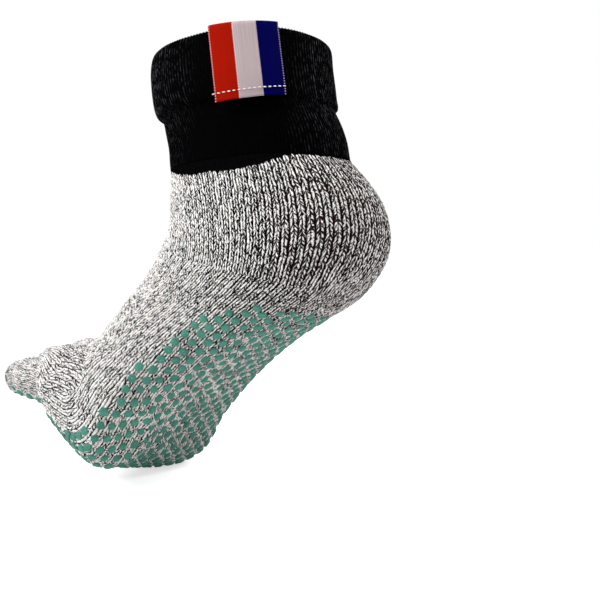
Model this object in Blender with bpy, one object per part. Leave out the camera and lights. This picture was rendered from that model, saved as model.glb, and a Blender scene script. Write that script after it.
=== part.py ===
"""A worn toe sock, held as a foot on tiptoe fills it.

A grey marl knit body with a heel pocket and five hollow toe pockets, a black welt doubled at its rim,
and a striped ribbon tab that laps over the rim.  It is the sock of a left foot.

Metres.  +X points to the toes, +Y to the little toe, +Z up.  The form is worked out with the ball of
the foot at the origin and the sole pitched up behind it.  It is then rolled, and moved so that the
origin is the centre of the opening at the rim.
"""
import math
from collections import namedtuple

import bmesh
import bpy
import numpy as np

MM = 0.001

# Posture, in degrees
SOLE_PITCH = 37.9
FOOT_ROLL = 8.6
LEG_LEAN = 8.3
LEG_SIDE = -4.0
RIM_TILT = 1.8
JOIN_TILT = -2.4
JOIN_LEAN = -3.0

# The foot that fills the sock
HEEL_TO_BALL = 170.6 * MM
HEEL_WIDTH = 72 * MM
HEEL_HEIGHT = 37.7 * MM
INSTEP_HEIGHT = 69 * MM
WAIST_LATERAL = 33 * MM
WAIST_MEDIAL = 33 * MM
ARCH_RISE = 3.5 * MM
BALL_LATERAL = 48.6 * MM
BALL_MEDIAL = 48.2 * MM
BALL_HEIGHT = 41.8 * MM
WEB_ALONG = 27 * MM

# The ankle
ANKLE_ALONG = 122.8 * MM
ANKLE_RISE = 62.5 * MM
ANKLE_DEPTH = 85 * MM
ANKLE_WIDTH = 66.5 * MM
CREASE_FORWARD = 53.6 * MM
CREASE_UP = 22.7 * MM

# The toe pockets
TOE_REACH = 68 * MM
TOE_BREADTH = 25 * MM
TOE_DEPTH = 26 * MM
WEB_DOME = 9 * MM

# Walls and clearances
KNIT_WALL = 1.8 * MM
CUFF_WALL = 2.0 * MM
WELT_WALL = 4.2 * MM
RIBBON_WALL = 0.5 * MM
GAP = 0.3 * MM
TAB_GAP = 1.0 * MM

# The cuff, measured up the leg from the ankle's centre
CUFF_FROM = 15.5 * MM
CUFF_HEIGHT = 55.5 * MM
WELT_FROM = 0.46
RIM_DEPTH = 82 * MM
RIM_WIDTH = 79.4 * MM
RIM_FORWARD = 11.6 * MM

# The pull tab
TAB_WIDTH = 31 * MM
TAB_DROP = 32 * MM
TAB_INSIDE = 23 * MM
TAB_STAND = 1.0 * MM
TAB_BOW = 0.8 * MM
TAB_TURN = 126.8
TAB_SKEW = 0.07

# Mesh fineness
ROUND_STEPS = 42
KNIT_STEPS = 39
CUFF_STEPS = 44
TOE_STEPS = 14
TAB_STEPS = 8
DENSE_STEPS = 720

# A section lies across the sock, from a back (or sole) point to a front (or top) point of the side
# plane.  widest is where it is widest, as a share of that line, skew leans its lateral side back and
# lean lifts it.
Section = namedtuple("Section", "back front lateral medial widest back_power front_power skew lean")

# Heel sections fan round the front of the ankle.  along and up place the back point, as shares of
# HEEL_TO_BALL and HEEL_HEIGHT; forward and rise place the front point from the ankle's centre, as
# shares of CREASE_FORWARD and CREASE_UP; width is a share of HEEL_WIDTH, and lean of JOIN_LEAN's.
HeelRow = namedtuple("HeelRow", "along up forward rise width widest back_power lean")
HEEL_ROWS = (
    HeelRow(along=0.993, up=1.08, forward=0.685, rise=1.00, width=0.97, widest=0.49, back_power=2.2, lean=0.6),
    HeelRow(along=1.000, up=0.75, forward=0.735, rise=0.81, width=1.01, widest=0.47, back_power=2.2, lean=0.3),
    HeelRow(along=0.985, up=0.45, forward=0.790, rise=0.66, width=1.03, widest=0.45, back_power=2.2, lean=0.1),
    HeelRow(along=0.945, up=0.20, forward=0.855, rise=0.56, width=1.03, widest=0.42, back_power=2.3, lean=0.0),
    HeelRow(along=0.875, up=0.05, forward=0.925, rise=0.49, width=1.02, widest=0.39, back_power=2.4, lean=0.0),
    HeelRow(along=0.770, up=0.00, forward=1.000, rise=0.43, width=1.00, widest=0.36, back_power=2.5, lean=0.0),
)

# Foot sections.  sole_along and top_along are shares of HEEL_TO_BALL; arch is a share of ARCH_RISE;
# instep and ball are shares of INSTEP_HEIGHT and BALL_HEIGHT that add up to the top's height;
# spread goes from the waist's half widths (0) to the ball's (1).
FootRow = namedtuple("FootRow", "sole_along arch top_along instep ball spread widest back_power skew")
FOOT_ROWS = (
    FootRow(sole_along=0.590, arch=1.2, top_along=0.356, instep=1.00, ball=0.00, spread=0.00,
            widest=0.34, back_power=2.5, skew=0.00),
    FootRow(sole_along=0.400, arch=1.6, top_along=0.266, instep=0.90, ball=0.02, spread=0.42,
            widest=0.35, back_power=2.5, skew=0.04),
    FootRow(sole_along=0.210, arch=0.5, top_along=0.163, instep=0.45, ball=0.60, spread=0.92,
            widest=0.37, back_power=2.6, skew=0.10),
)

# Ball sections roll the sole over from its pitch to the spring of the toes.  The sole's and the top's
# places are shares of WEB_ALONG and BALL_HEIGHT from the lowest point, and spread is a share of the
# ball's half widths.
BallRow = namedtuple("BallRow", "sole_along sole_up top_along top_up spread widest back_power skew")
BALL_ROWS = (
    BallRow(sole_along=-0.55, sole_up=0.13, top_along=0.66, top_up=1.26, spread=1.02,
            widest=0.38, back_power=3.2, skew=0.14),
    BallRow(sole_along=-0.05, sole_up=-0.02, top_along=0.86, top_up=1.21, spread=1.03,
            widest=0.40, back_power=3.2, skew=0.22),
    BallRow(sole_along=0.52, sole_up=0.08, top_along=1.08, top_up=1.20, spread=1.02,
            widest=0.42, back_power=3.0, skew=0.29),
    BallRow(sole_along=1.10, sole_up=0.25, top_along=1.36, top_up=1.20, spread=0.97,
            widest=0.45, back_power=2.6, skew=0.36),
)

# The web's dome closes the foot between the toe pockets: shares of WEB_DOME and of the last section.
DomeRow = namedtuple("DomeRow", "along size")
DOME_ROWS = (
    DomeRow(along=0.35, size=0.94),
    DomeRow(along=0.70, size=0.78),
    DomeRow(along=0.92, size=0.50),
    DomeRow(along=1.00, size=0.16),
)

# Toe pockets, from the big toe to the little toe.  Each has an axis from its root inside the foot to
# the centre of its tip: along is a share of TOE_REACH, across a share of the ball's half width on that
# side, up a share of BALL_HEIGHT.  bend raises the axis's middle by a share of TOE_DEPTH; width and
# height are shares of TOE_BREADTH and TOE_DEPTH.
ToeRow = namedtuple("ToeRow", "name root_along root_across root_up tip_along tip_across tip_up "
                    "bend width height")
TOE_ROWS = (
    ToeRow("big", 0.26, -0.60, 0.83, 0.95, -0.62, 1.07, 0.04, 1.12, 1.12),
    ToeRow("second", 0.28, -0.24, 0.66, 0.98, -0.16, 1.02, 0.16, 0.78, 0.82),
    ToeRow("third", 0.22, 0.10, 0.53, 1.08, 0.17, 0.86, 0.30, 0.70, 0.66),
    ToeRow("fourth", 0.08, 0.46, 0.40, 0.72, 0.50, 0.87, 0.16, 0.80, 0.80),
    ToeRow("little", -0.24, 0.72, 0.40, 0.19, 0.76, 0.90, 0.22, 1.04, 1.24),
)

# A pocket's rings from its root to its tip.  along is a share of the axis, beyond a share of half the
# pocket's height past the tip's centre, and size a share of its size.
ToeRing = namedtuple("ToeRing", "along beyond size")
TOE_RINGS = (
    ToeRing(along=0.00, beyond=0.00, size=0.96),
    ToeRing(along=0.30, beyond=0.00, size=0.96),
    ToeRing(along=0.60, beyond=0.00, size=0.98),
    ToeRing(along=0.85, beyond=0.00, size=1.00),
    ToeRing(along=1.00, beyond=0.00, size=0.97),
    ToeRing(along=1.00, beyond=0.45, size=0.84),
    ToeRing(along=1.00, beyond=0.78, size=0.57),
    ToeRing(along=1.00, beyond=0.97, size=0.20),
)

# The cuff from its lower edge to its rim.  up is a share of CUFF_HEIGHT and rim goes from the ankle's
# sizes (0) to the rim's (1).
CuffRow = namedtuple("CuffRow", "up rim")
CUFF_ROWS = (
    CuffRow(up=0.00, rim=0.00),
    CuffRow(up=0.20, rim=0.18),
    CuffRow(up=0.40, rim=0.54),
    CuffRow(up=0.56, rim=0.80),
    CuffRow(up=0.78, rim=0.98),
    CuffRow(up=1.00, rim=1.00),
)

# The cuff's wall, up its outside, over its rounded rim and down its inside.  up is a share of
# CUFF_HEIGHT, swell a share of WELT_WALL added outside, and wall the share of the way to the inside.
WallRow = namedtuple("WallRow", "up swell wall")
WALL_ROWS = (
    WallRow(up=0.00, swell=0.00, wall=0.0),
    WallRow(up=0.18, swell=-0.10, wall=0.0),
    WallRow(up=0.36, swell=-0.34, wall=0.0),
    WallRow(up=0.45, swell=-0.50, wall=0.0),
    WallRow(up=0.47, swell=-0.04, wall=0.0),
    WallRow(up=0.54, swell=0.10, wall=0.0),
    WallRow(up=0.68, swell=0.11, wall=0.0),
    WallRow(up=0.84, swell=0.05, wall=0.0),
    WallRow(up=0.955, swell=0.00, wall=0.03),
    WallRow(up=0.99, swell=0.00, wall=0.22),
    WallRow(up=1.00, swell=0.00, wall=0.50),
    WallRow(up=0.99, swell=0.00, wall=0.78),
    WallRow(up=0.955, swell=0.00, wall=0.97),
    WallRow(up=0.80, swell=0.00, wall=1.0),
    WallRow(up=0.56, swell=0.00, wall=1.0),
    WallRow(up=0.40, swell=0.00, wall=1.0),
    WallRow(up=0.20, swell=0.00, wall=1.0),
    WallRow(up=0.00, swell=0.00, wall=1.0),
)


def on_foot(along, up):
    """A side-plane point given along and above the sole, which is pitched up behind the ball."""
    pitch = math.radians(SOLE_PITCH)
    return np.array([along * math.cos(pitch) + up * math.sin(pitch),
                     up * math.cos(pitch) - along * math.sin(pitch)])


def leg_axes():
    """The ankle's centre and the leg's forward and upward directions, in the side plane."""
    lean = math.radians(LEG_LEAN)
    centre = on_foot(-ANKLE_ALONG, ANKLE_RISE)
    forward = np.array([math.cos(lean), -math.sin(lean)])
    upward = np.array([math.sin(lean), math.cos(lean)])
    return centre, forward, upward


def leg_section(up, depth, width, tilt, lean, shift=0.0):
    """A section across the leg at a height above the ankle.

    tilt lowers its front edge and lean lifts its lateral side, in degrees.
    """
    centre, forward, upward = leg_axes()
    drop = math.tan(math.radians(tilt)) * depth / 2
    back = centre + forward * (shift - depth / 2) + upward * (up + drop)
    front = centre + forward * (shift + depth / 2) + upward * (up - drop)
    return Section(back, front, width / 2, width / 2, 0.5, 2.2, 2.2, 0.0, math.tan(math.radians(lean)))


def cuff_section(share, outward=0.0, straight=False):
    """The cuff's section at a share of its height, moved out from its base surface.

    A straight one follows the ribbon, which keeps the rim's width and hangs in a line to its end.
    """
    shares = [row.up for row in CUFF_ROWS]
    rims = [row.rim for row in CUFF_ROWS]
    rim = float(np.interp(share, shares, rims))
    width = ANKLE_WIDTH + (RIM_WIDTH - ANKLE_WIDTH) * rim + 2 * outward
    if straight:
        end = 1 - TAB_DROP / CUFF_HEIGHT
        rim = float(np.interp(share, [end, 1.0], [np.interp(end, shares, rims), 1.0]))
        width = RIM_WIDTH + 2 * outward
    depth = ANKLE_DEPTH + (RIM_DEPTH - ANKLE_DEPTH) * rim + 2 * outward
    tilt = JOIN_TILT + (RIM_TILT - JOIN_TILT) * share
    lean = JOIN_LEAN * (1 - share)
    return leg_section(CUFF_FROM + GAP + CUFF_HEIGHT * share, depth, width, tilt, lean, RIM_FORWARD * rim)


def knit_sections():
    """The sections of the knit body, from the cuff's lower edge round the heel to the toes' web."""
    rows = [leg_section(CUFF_FROM, ANKLE_DEPTH, ANKLE_WIDTH, JOIN_TILT, JOIN_LEAN)]
    for row in HEEL_ROWS:
        back = on_foot(-row.along * HEEL_TO_BALL, row.up * HEEL_HEIGHT)
        front = on_foot(row.forward * CREASE_FORWARD - ANKLE_ALONG, ANKLE_RISE + row.rise * CREASE_UP)
        half = row.width * HEEL_WIDTH / 2
        lean = math.tan(math.radians(JOIN_LEAN * row.lean))
        rows.append(Section(back, front, half, half, row.widest, row.back_power, 2.15, 0.0, lean))
    for row in FOOT_ROWS:
        back = on_foot(-row.sole_along * HEEL_TO_BALL, row.arch * ARCH_RISE)
        front = on_foot(-row.top_along * HEEL_TO_BALL, row.instep * INSTEP_HEIGHT + row.ball * BALL_HEIGHT)
        lateral = WAIST_LATERAL + (BALL_LATERAL - WAIST_LATERAL) * row.spread
        medial = WAIST_MEDIAL + (BALL_MEDIAL - WAIST_MEDIAL) * row.spread
        rows.append(Section(back, front, lateral, medial, row.widest, row.back_power, 2.1, row.skew, 0.0))
    for row in BALL_ROWS:
        back = np.array([row.sole_along * WEB_ALONG, row.sole_up * BALL_HEIGHT])
        front = np.array([row.top_along * WEB_ALONG, row.top_up * BALL_HEIGHT])
        rows.append(Section(back, front, row.spread * BALL_LATERAL, row.spread * BALL_MEDIAL,
                            row.widest, row.back_power, 2.2, row.skew, 0.0))
    return rows


def as_numbers(sections):
    """The sections as an array, a row for each."""
    return np.array([[*item.back, *item.front, *item[2:]] for item in sections])


def through(rows, places):
    """Values of a Catmull-Rom spline through the rows, at real row numbers."""
    last = len(rows) - 1
    start = np.clip(np.floor(places).astype(int), 0, last - 1)
    part = (places - start)[:, None]
    here = rows[start]
    after = rows[start + 1]
    before = np.where(start[:, None] > 0, rows[np.maximum(start - 1, 0)], 2 * here - after)
    beyond = np.where(start[:, None] < last - 1, rows[np.minimum(start + 2, last)], 2 * after - here)
    return 0.5 * (2 * here + (after - before) * part
                  + (2 * before - 5 * here + 4 * after - beyond) * part ** 2
                  + (3 * here - before - 3 * after + beyond) * part ** 3)


def section_points(numbers, turns):
    """Points round sections at angles from their fronts: superellipses in two halves.

    The front and back halves share the widest line, and each has its own power.  The lateral and
    medial sides have their own half widths.
    """
    back_x, back_z, front_x, front_z, lateral, medial, widest, back_power, front_power, skew, lean = (
        column[:, None] for column in numbers.T)
    cosine = np.cos(turns)
    sine = np.sin(turns)
    power = np.where(cosine > 0, front_power, back_power)
    reach = np.where(cosine > 0, 1 - widest, widest)
    share = widest + np.sign(cosine) * np.abs(cosine) ** (2 / power) * reach
    side = np.sign(sine) * np.abs(sine) ** (2 / power) * np.where(sine > 0, lateral, medial)
    return np.stack([back_x + (front_x - back_x) * share - skew * side, side,
                     back_z + (front_z - back_z) * share + lean * side], axis=-1)


def evenly_round(numbers, steps):
    """Rings of points at even distances round each section, the first at its front."""
    dense = np.linspace(0, 2 * math.pi, DENSE_STEPS + 1)
    rings = []
    for outline in section_points(numbers, dense[None]):
        walked = np.concatenate([[0], np.cumsum(np.linalg.norm(np.diff(outline, axis=0), axis=1))])
        even = np.arange(steps) * walked[-1] / steps
        rings.append(np.stack([np.interp(even, walked, axis) for axis in outline.T], axis=-1))
    return np.array(rings)


def sideways(points):
    """Leans what lies above the ankle to the side."""
    centre, _, upward = leg_axes()
    height = (points[..., 0] - centre[0]) * upward[0] + (points[..., 2] - centre[1]) * upward[1]
    moved = points.copy()
    moved[..., 1] += np.maximum(height, 0) * math.tan(math.radians(LEG_SIDE))
    return moved


def rolled(points):
    """Rolls points about the ball's long axis, so that the little toe's side rises."""
    roll = math.radians(FOOT_ROLL)
    across = points[..., 1] * math.cos(roll) - points[..., 2] * math.sin(roll)
    up = points[..., 1] * math.sin(roll) + points[..., 2] * math.cos(roll)
    return np.stack([points[..., 0], across, up], axis=-1)


def placed(points):
    """Points of the form, rolled and moved to the frame whose origin is the opening's centre."""
    rim = section_points(as_numbers([cuff_section(1.0)]), np.array([[0.0, math.pi]]))
    centre = rolled(sideways(rim)).mean(axis=(0, 1))
    return rolled(sideways(points)) - centre


def closed_round(grid):
    """Outward unit normals of a grid of rings."""
    around = np.roll(grid, -1, axis=1) - np.roll(grid, 1, axis=1)
    down = np.gradient(grid, axis=0)
    normal = np.cross(around, down)
    normal /= np.linalg.norm(normal, axis=2, keepdims=True) + 1e-12
    middle = grid.mean(axis=1, keepdims=True)
    facing = np.sign(np.sum(normal * (grid - middle), axis=(1, 2), keepdims=True))
    return normal * facing


def knit_rings():
    """The outer surface of the knit body as rings, without the dome over the web."""
    numbers = as_numbers(knit_sections())
    places = np.linspace(0, len(numbers) - 1, KNIT_STEPS)
    return evenly_round(through(numbers, places), ROUND_STEPS)


def domed(rings, height):
    """Rings with the web's dome added after the last of them."""
    last = rings[-1]
    middle = last.mean(axis=0)
    ahead = middle - rings[-2].mean(axis=0)
    ahead /= np.linalg.norm(ahead)
    dome = [middle + (last - middle) * row.size + ahead * row.along * height for row in DOME_ROWS]
    return np.concatenate([rings, dome])


def toe_axis(toe):
    """The root and the tip's centre of a toe pocket."""
    half = BALL_LATERAL if toe.tip_across > 0 else BALL_MEDIAL
    root = np.array([toe.root_along * TOE_REACH, toe.root_across * half, toe.root_up * BALL_HEIGHT])
    tip = np.array([toe.tip_along * TOE_REACH, toe.tip_across * half, toe.tip_up * BALL_HEIGHT])
    return root, tip


def toe_rings(toe, inset=0.0):
    """Rings of one toe pocket, from its root inside the foot to its rounded tip."""
    root, tip = toe_axis(toe)
    ahead = (tip - root) / np.linalg.norm(tip - root)
    across = np.cross([0.0, 0.0, 1.0], ahead)
    across /= np.linalg.norm(across)
    upward = np.cross(ahead, across)
    turns = np.arange(TOE_STEPS) * 2 * math.pi / TOE_STEPS
    wide = toe.width * TOE_BREADTH / 2 - inset
    high = toe.height * TOE_DEPTH / 2 - inset
    rings = []
    for ring in TOE_RINGS:
        rise = toe.bend * TOE_DEPTH * 4 * ring.along * (1 - ring.along)
        centre = root + (tip - root) * ring.along + ahead * ring.beyond * high + upward * rise
        rings.append(centre + ring.size * (np.outer(np.cos(turns), across) * wide
                                           + np.outer(np.sin(turns), upward) * high))
    return np.array(rings)


def wall_points(row):
    """The cuff section that a row of its wall table stands for."""
    thick = CUFF_WALL if row.up < WELT_FROM else WELT_WALL
    return cuff_section(row.up, row.swell * WELT_WALL - row.wall * thick)


def cuff_rings():
    """Rings of the cuff's wall, up the outside, over the rim and down the inside."""
    return evenly_round(as_numbers([wall_points(row) for row in WALL_ROWS]), CUFF_STEPS)


def tab_path():
    """The ribbon's inner face in the wall's plane: heights as shares and distances out."""
    shares = np.linspace(1 - TAB_DROP / CUFF_HEIGHT, 0.97, 9)
    bow = TAB_BOW * np.sin(np.linspace(0, math.pi, 9))
    path = [(share, TAB_GAP + lift) for share, lift in zip(shares, bow)]
    radius = WELT_WALL / 2 + TAB_GAP
    for angle in np.linspace(math.radians(30), math.radians(150), 6):
        path.append((1.0 + (radius * math.sin(angle) - WELT_WALL / 2 + TAB_STAND) / CUFF_HEIGHT,
                     -WELT_WALL / 2 + radius * math.cos(angle)))
    path += [(share, -WELT_WALL - TAB_GAP) for share in np.linspace(0.97, 1 - TAB_INSIDE / CUFF_HEIGHT, 6)]
    return np.array(path)


def tab_rings():
    """Closed rings round the ribbon's thickness, one for each step across it.

    The outer leaf's end rises by TAB_SKEW of the distance across.
    """
    inner = tab_path()
    step = np.gradient(inner * [CUFF_HEIGHT, 1.0], axis=0)
    normal = np.stack([-step[:, 1], step[:, 0]], axis=1)
    normal /= np.linalg.norm(normal, axis=1, keepdims=True)
    outer = inner + normal * RIBBON_WALL / [CUFF_HEIGHT, 1.0]
    outline = np.concatenate([inner, outer[::-1]])
    centre = math.radians(TAB_TURN)
    numbers = as_numbers([cuff_section(share, out, straight=out > -WELT_WALL / 2) for share, out in outline])
    ends = section_points(numbers, np.array([[centre - 0.05, centre + 0.05]]))
    speed = np.linalg.norm(ends[:, 1] - ends[:, 0], axis=1) / 0.1
    outside = outline[:, 1] > -WELT_WALL / 2
    hang = outside * np.clip((1 - outline[:, 0]) * CUFF_HEIGHT / TAB_DROP, 0, 1)
    rings = []
    for place in np.linspace(-TAB_WIDTH / 2, TAB_WIDTH / 2, TAB_STEPS + 1):
        shares = outline[:, 0] + TAB_SKEW * place * hang / CUFF_HEIGHT
        numbers = as_numbers([cuff_section(*row) for row in zip(shares, outline[:, 1], outside)])
        turns = centre + place / speed
        rings.append(np.array([section_points(row[None], np.array([[turn]]))[0, 0]
                               for row, turn in zip(numbers, turns)]))
    return np.array(rings)


def grid_object(name, rings, capped=True):
    """An object whose faces join successive rings; its ends are capped, or joined to each other."""
    count, around, _ = rings.shape
    rows = count - 1 if capped else count
    faces = []
    for ring in range(rows):
        for step in range(around):
            here = ring * around + step
            side = ring * around + (step + 1) % around
            below = (ring + 1) % count * around
            faces.append((here, side, below + (step + 1) % around, below + step))
    if capped:
        faces.append(tuple(range(around)))
        faces.append(tuple(range((count - 1) * around, count * around)))
    mesh = bpy.data.meshes.new(name)
    mesh.from_pydata(rings.reshape(-1, 3).tolist(), [], faces)
    work = bmesh.new()
    work.from_mesh(mesh)
    bmesh.ops.recalc_face_normals(work, faces=work.faces)
    work.to_mesh(mesh)
    work.free()
    mesh.shade_smooth()
    item = bpy.data.objects.new(name, mesh)
    bpy.context.scene.collection.objects.link(item)
    return item


def combine(item, tool, operation):
    """Joins the tool to an object or cuts it away, and hides the tool."""
    change = item.modifiers.new(f"{operation.lower()}_{tool.name}", "BOOLEAN")
    change.operation = operation
    change.solver = "EXACT"
    change.object = tool
    tool.hide_render = True
    tool.display_type = "WIRE"


def finish(item, colour, roughness):
    """Gives an object its own material."""
    material = bpy.data.materials.new(f"{item.name}_material")
    material.use_nodes = True
    shader = material.node_tree.nodes["Principled BSDF"]
    shader.inputs["Base Color"].default_value = (*colour, 1.0)
    shader.inputs["Roughness"].default_value = roughness
    shader.inputs["Metallic"].default_value = 0.0
    item.data.materials.append(material)


def make_foot_knit():
    """The knit body: the foot and its five pockets outside, less the same forms inset by the wall."""
    outer = knit_rings()
    inner = outer - closed_round(outer) * KNIT_WALL
    above = inner[0] + (inner[0] - inner[1])
    body = grid_object("foot_knit", placed(domed(outer, WEB_DOME)))
    hollow_rings = np.concatenate([above[None], domed(inner, WEB_DOME - KNIT_WALL)])
    hollow = grid_object("hollow_foot", placed(hollow_rings))
    for toe in TOE_ROWS:
        combine(body, grid_object(f"{toe.name}_pocket", placed(toe_rings(toe))), "UNION")
        combine(hollow, grid_object(f"{toe.name}_hollow", placed(toe_rings(toe, KNIT_WALL))), "UNION")
    combine(body, hollow, "DIFFERENCE")
    finish(body, (0.42, 0.41, 0.40), 0.95)


def make_cuff():
    """The black welt, a closed wall turned round the leg."""
    finish(grid_object("cuff", placed(cuff_rings()), capped=False), (0.012, 0.012, 0.014), 0.9)


def make_pull_tab():
    """The striped ribbon, lapped over the rim."""
    finish(grid_object("pull_tab", placed(tab_rings())), (0.55, 0.12, 0.10), 0.5)


for old in list(bpy.data.objects):
    bpy.data.objects.remove(old, do_unlink=True)
make_foot_knit()
make_cuff()
make_pull_tab()
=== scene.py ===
"""The looks of a toe sock in the form in which it is worn, on tiptoe.

A grey marl plain knit with green grip dots under the foot, a black ribbed cuff doubled over at its
rim, and a striped ribbon tab.  The form is that of the solids, worked out again from the same sizes,
with every stitch, rib and dot standing on it.

Metres.  +X points to the toes, +Y to the little toe, +Z up.  The origin is the centre of the rim.
"""
import math
from collections import namedtuple

import bpy
import numpy as np
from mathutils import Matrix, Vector


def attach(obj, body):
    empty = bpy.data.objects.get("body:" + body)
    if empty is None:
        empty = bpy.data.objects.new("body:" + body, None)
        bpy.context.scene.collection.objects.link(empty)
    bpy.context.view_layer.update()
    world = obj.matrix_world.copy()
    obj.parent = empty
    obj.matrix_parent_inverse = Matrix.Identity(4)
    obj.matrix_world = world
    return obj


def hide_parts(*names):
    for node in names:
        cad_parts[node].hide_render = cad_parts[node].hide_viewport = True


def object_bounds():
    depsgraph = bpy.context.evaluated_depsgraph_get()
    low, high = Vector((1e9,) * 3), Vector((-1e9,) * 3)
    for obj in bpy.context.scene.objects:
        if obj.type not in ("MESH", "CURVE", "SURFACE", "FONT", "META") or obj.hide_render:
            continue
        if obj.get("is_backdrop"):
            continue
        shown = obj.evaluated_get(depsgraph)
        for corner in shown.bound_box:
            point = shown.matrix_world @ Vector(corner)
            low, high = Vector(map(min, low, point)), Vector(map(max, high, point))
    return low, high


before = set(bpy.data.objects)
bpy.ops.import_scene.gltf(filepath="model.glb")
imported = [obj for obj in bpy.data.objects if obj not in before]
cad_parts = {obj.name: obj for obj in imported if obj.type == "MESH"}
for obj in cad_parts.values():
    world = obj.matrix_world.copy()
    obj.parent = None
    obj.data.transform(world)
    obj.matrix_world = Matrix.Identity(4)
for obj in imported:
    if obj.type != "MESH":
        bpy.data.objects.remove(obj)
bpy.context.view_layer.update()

MM = 0.001

# Posture, in degrees
SOLE_PITCH = 37.9
FOOT_ROLL = 8.6
LEG_LEAN = 8.3
LEG_SIDE = -4.0
RIM_TILT = 1.8
JOIN_TILT = -2.4
JOIN_LEAN = -3.0

# The sock's foot
HEEL_TO_BALL = 170.6 * MM
HEEL_WIDTH = 72 * MM
HEEL_HEIGHT = 37.7 * MM
INSTEP_HEIGHT = 69 * MM
WAIST_LATERAL = 33 * MM
WAIST_MEDIAL = 33 * MM
ARCH_RISE = 3.5 * MM
BALL_LATERAL = 48.6 * MM
BALL_MEDIAL = 48.2 * MM
BALL_HEIGHT = 41.8 * MM
WEB_ALONG = 27 * MM

# The ankle
ANKLE_ALONG = 122.8 * MM
ANKLE_RISE = 62.5 * MM
ANKLE_DEPTH = 85 * MM
ANKLE_WIDTH = 66.5 * MM
CREASE_FORWARD = 53.6 * MM
CREASE_UP = 22.7 * MM

# The toe pockets
TOE_REACH = 68 * MM
TOE_BREADTH = 25 * MM
TOE_DEPTH = 26 * MM
WEB_DOME = 9 * MM

# Walls and clearances
KNIT_WALL = 1.8 * MM
CUFF_WALL = 2.0 * MM
WELT_WALL = 4.2 * MM
RIBBON_WALL = 0.5 * MM
GAP = 0.3 * MM
TAB_GAP = 1.0 * MM

# The cuff, measured up the leg from the ankle's centre
CUFF_FROM = 15.5 * MM
CUFF_HEIGHT = 55.5 * MM
WELT_FROM = 0.46
RIM_DEPTH = 82 * MM
RIM_WIDTH = 79.4 * MM
RIM_FORWARD = 11.6 * MM

# The pull tab
TAB_WIDTH = 31 * MM
TAB_DROP = 32 * MM
TAB_INSIDE = 23 * MM
TAB_STAND = 1.0 * MM
TAB_BOW = 0.8 * MM
TAB_TURN = 126.8
TAB_SKEW = 0.07

# The knit: wales run along the foot and courses across it.  A stitch's leg is an arch over its half
# of the wale, and its ends are lower than its middle.
WALES = 84
WALE_STEPS = 6
WALE = 3.0 * MM
COURSE = 2.25 * MM
ROW_STEP = 0.64 * MM
STITCH_RELIEF = 0.65 * MM
STITCH_SLANT = 0.42
LEG_MIDDLE = 0.53
LEG_HALF = 0.46
END_DIP = 0.45
END_POWER = 0.7
RELIEF_LEVEL = 0.8
CUFF_COURSES = 0.75
BLACK_DROOP = 5 * MM
TUCK = 1.2 * MM
DROOP_FROM = 0.7
GORE_ROW = 5.8
HEEL_FOLLOW = 0.4
PIECE_ROWS = 160
FIRST_COURSE = 100
LINING_STEP = 4 * MM
LINING_STEPS = 3
BLACK_ROWS = 3
TOE_WALES = 34
TOE_JOIN = 9 * MM
TOE_STEPS = 14
TIP_SIZE = 0.25
TIP_AHEAD = 0.35

# Steps for measuring a way round and a way down, the fine grid's steps for one of a coarse grid, and
# the grid against which the toe pockets are held
DENSE_STEPS = 720
DENSE_ROWS = 60
COARSE = 6
BODY_STEP = 2 * MM
BODY_COLUMNS = 140

# How the knit and the cuff wander: by how much, over what length, and the seed
Wander = namedtuple("Wander", "amount length seed")
WAVES = 5
WAVE_SPREAD = 1.7
WALE_WANDER = Wander(0.10, 8.5 * MM, 4)
COURSE_WANDER = Wander(0.35, 4.2 * MM, 3)
RELIEF_WANDER = Wander(0.14, 4.5 * MM, 5)
CRUMPLE = Wander(0.45 * MM, 35 * MM, 11)
SMALL_CRUMPLE = Wander(0.2 * MM, 12 * MM, 12)

# The cuff's ribs
RIBS = 150
RIB_STEPS = 4
RIB_RELIEF = 0.42 * MM
CUFF_ROW = 1.3 * MM
COARSE_CUFF = 200
CRUMPLED_ROWS = (0, 8, 9, 17)
CRUMPLED_SHARES = (1, 1, 0.3, 0.1)

# The grip dots
DOT_PITCH = 6.35 * MM
DOT_RADIUS = 1.95 * MM
DOT_HEIGHT = 0.5 * MM
DOT_SINK = 0.6 * MM
DOT_SIDES = 12
DOT_LINES = 11
DOT_SEED = 21
DOT_MARGIN = 0.5 * MM
DOT_WANDER = 0.18 * MM
DOT_SIZES = (0.9, 1.1)
DOT_HEIGHTS = (0.85, 1.15)
DOT_STAND = 0.25 * STITCH_RELIEF
DOT_LOBE = 0.07
DOT_ROUGH = 0.05
DOT_WOBBLE = 0.06 * MM
DOT_ROWS_ROUND = 4
# The rings of a dot from its crown to its sunk base, as shares of its radius and of its height
DOT_RINGS = ((0.0, 1.0), (0.62, 0.97), (0.9, 0.72), (1.0, 0.25), (1.02, -DOT_SINK / DOT_HEIGHT))
TOE_DOT_SEED = 22
TOE_DOT_LINES = 1
TOE_DOT_ROWS = 3
TOE_DOT_TIP = 13 * MM

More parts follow.
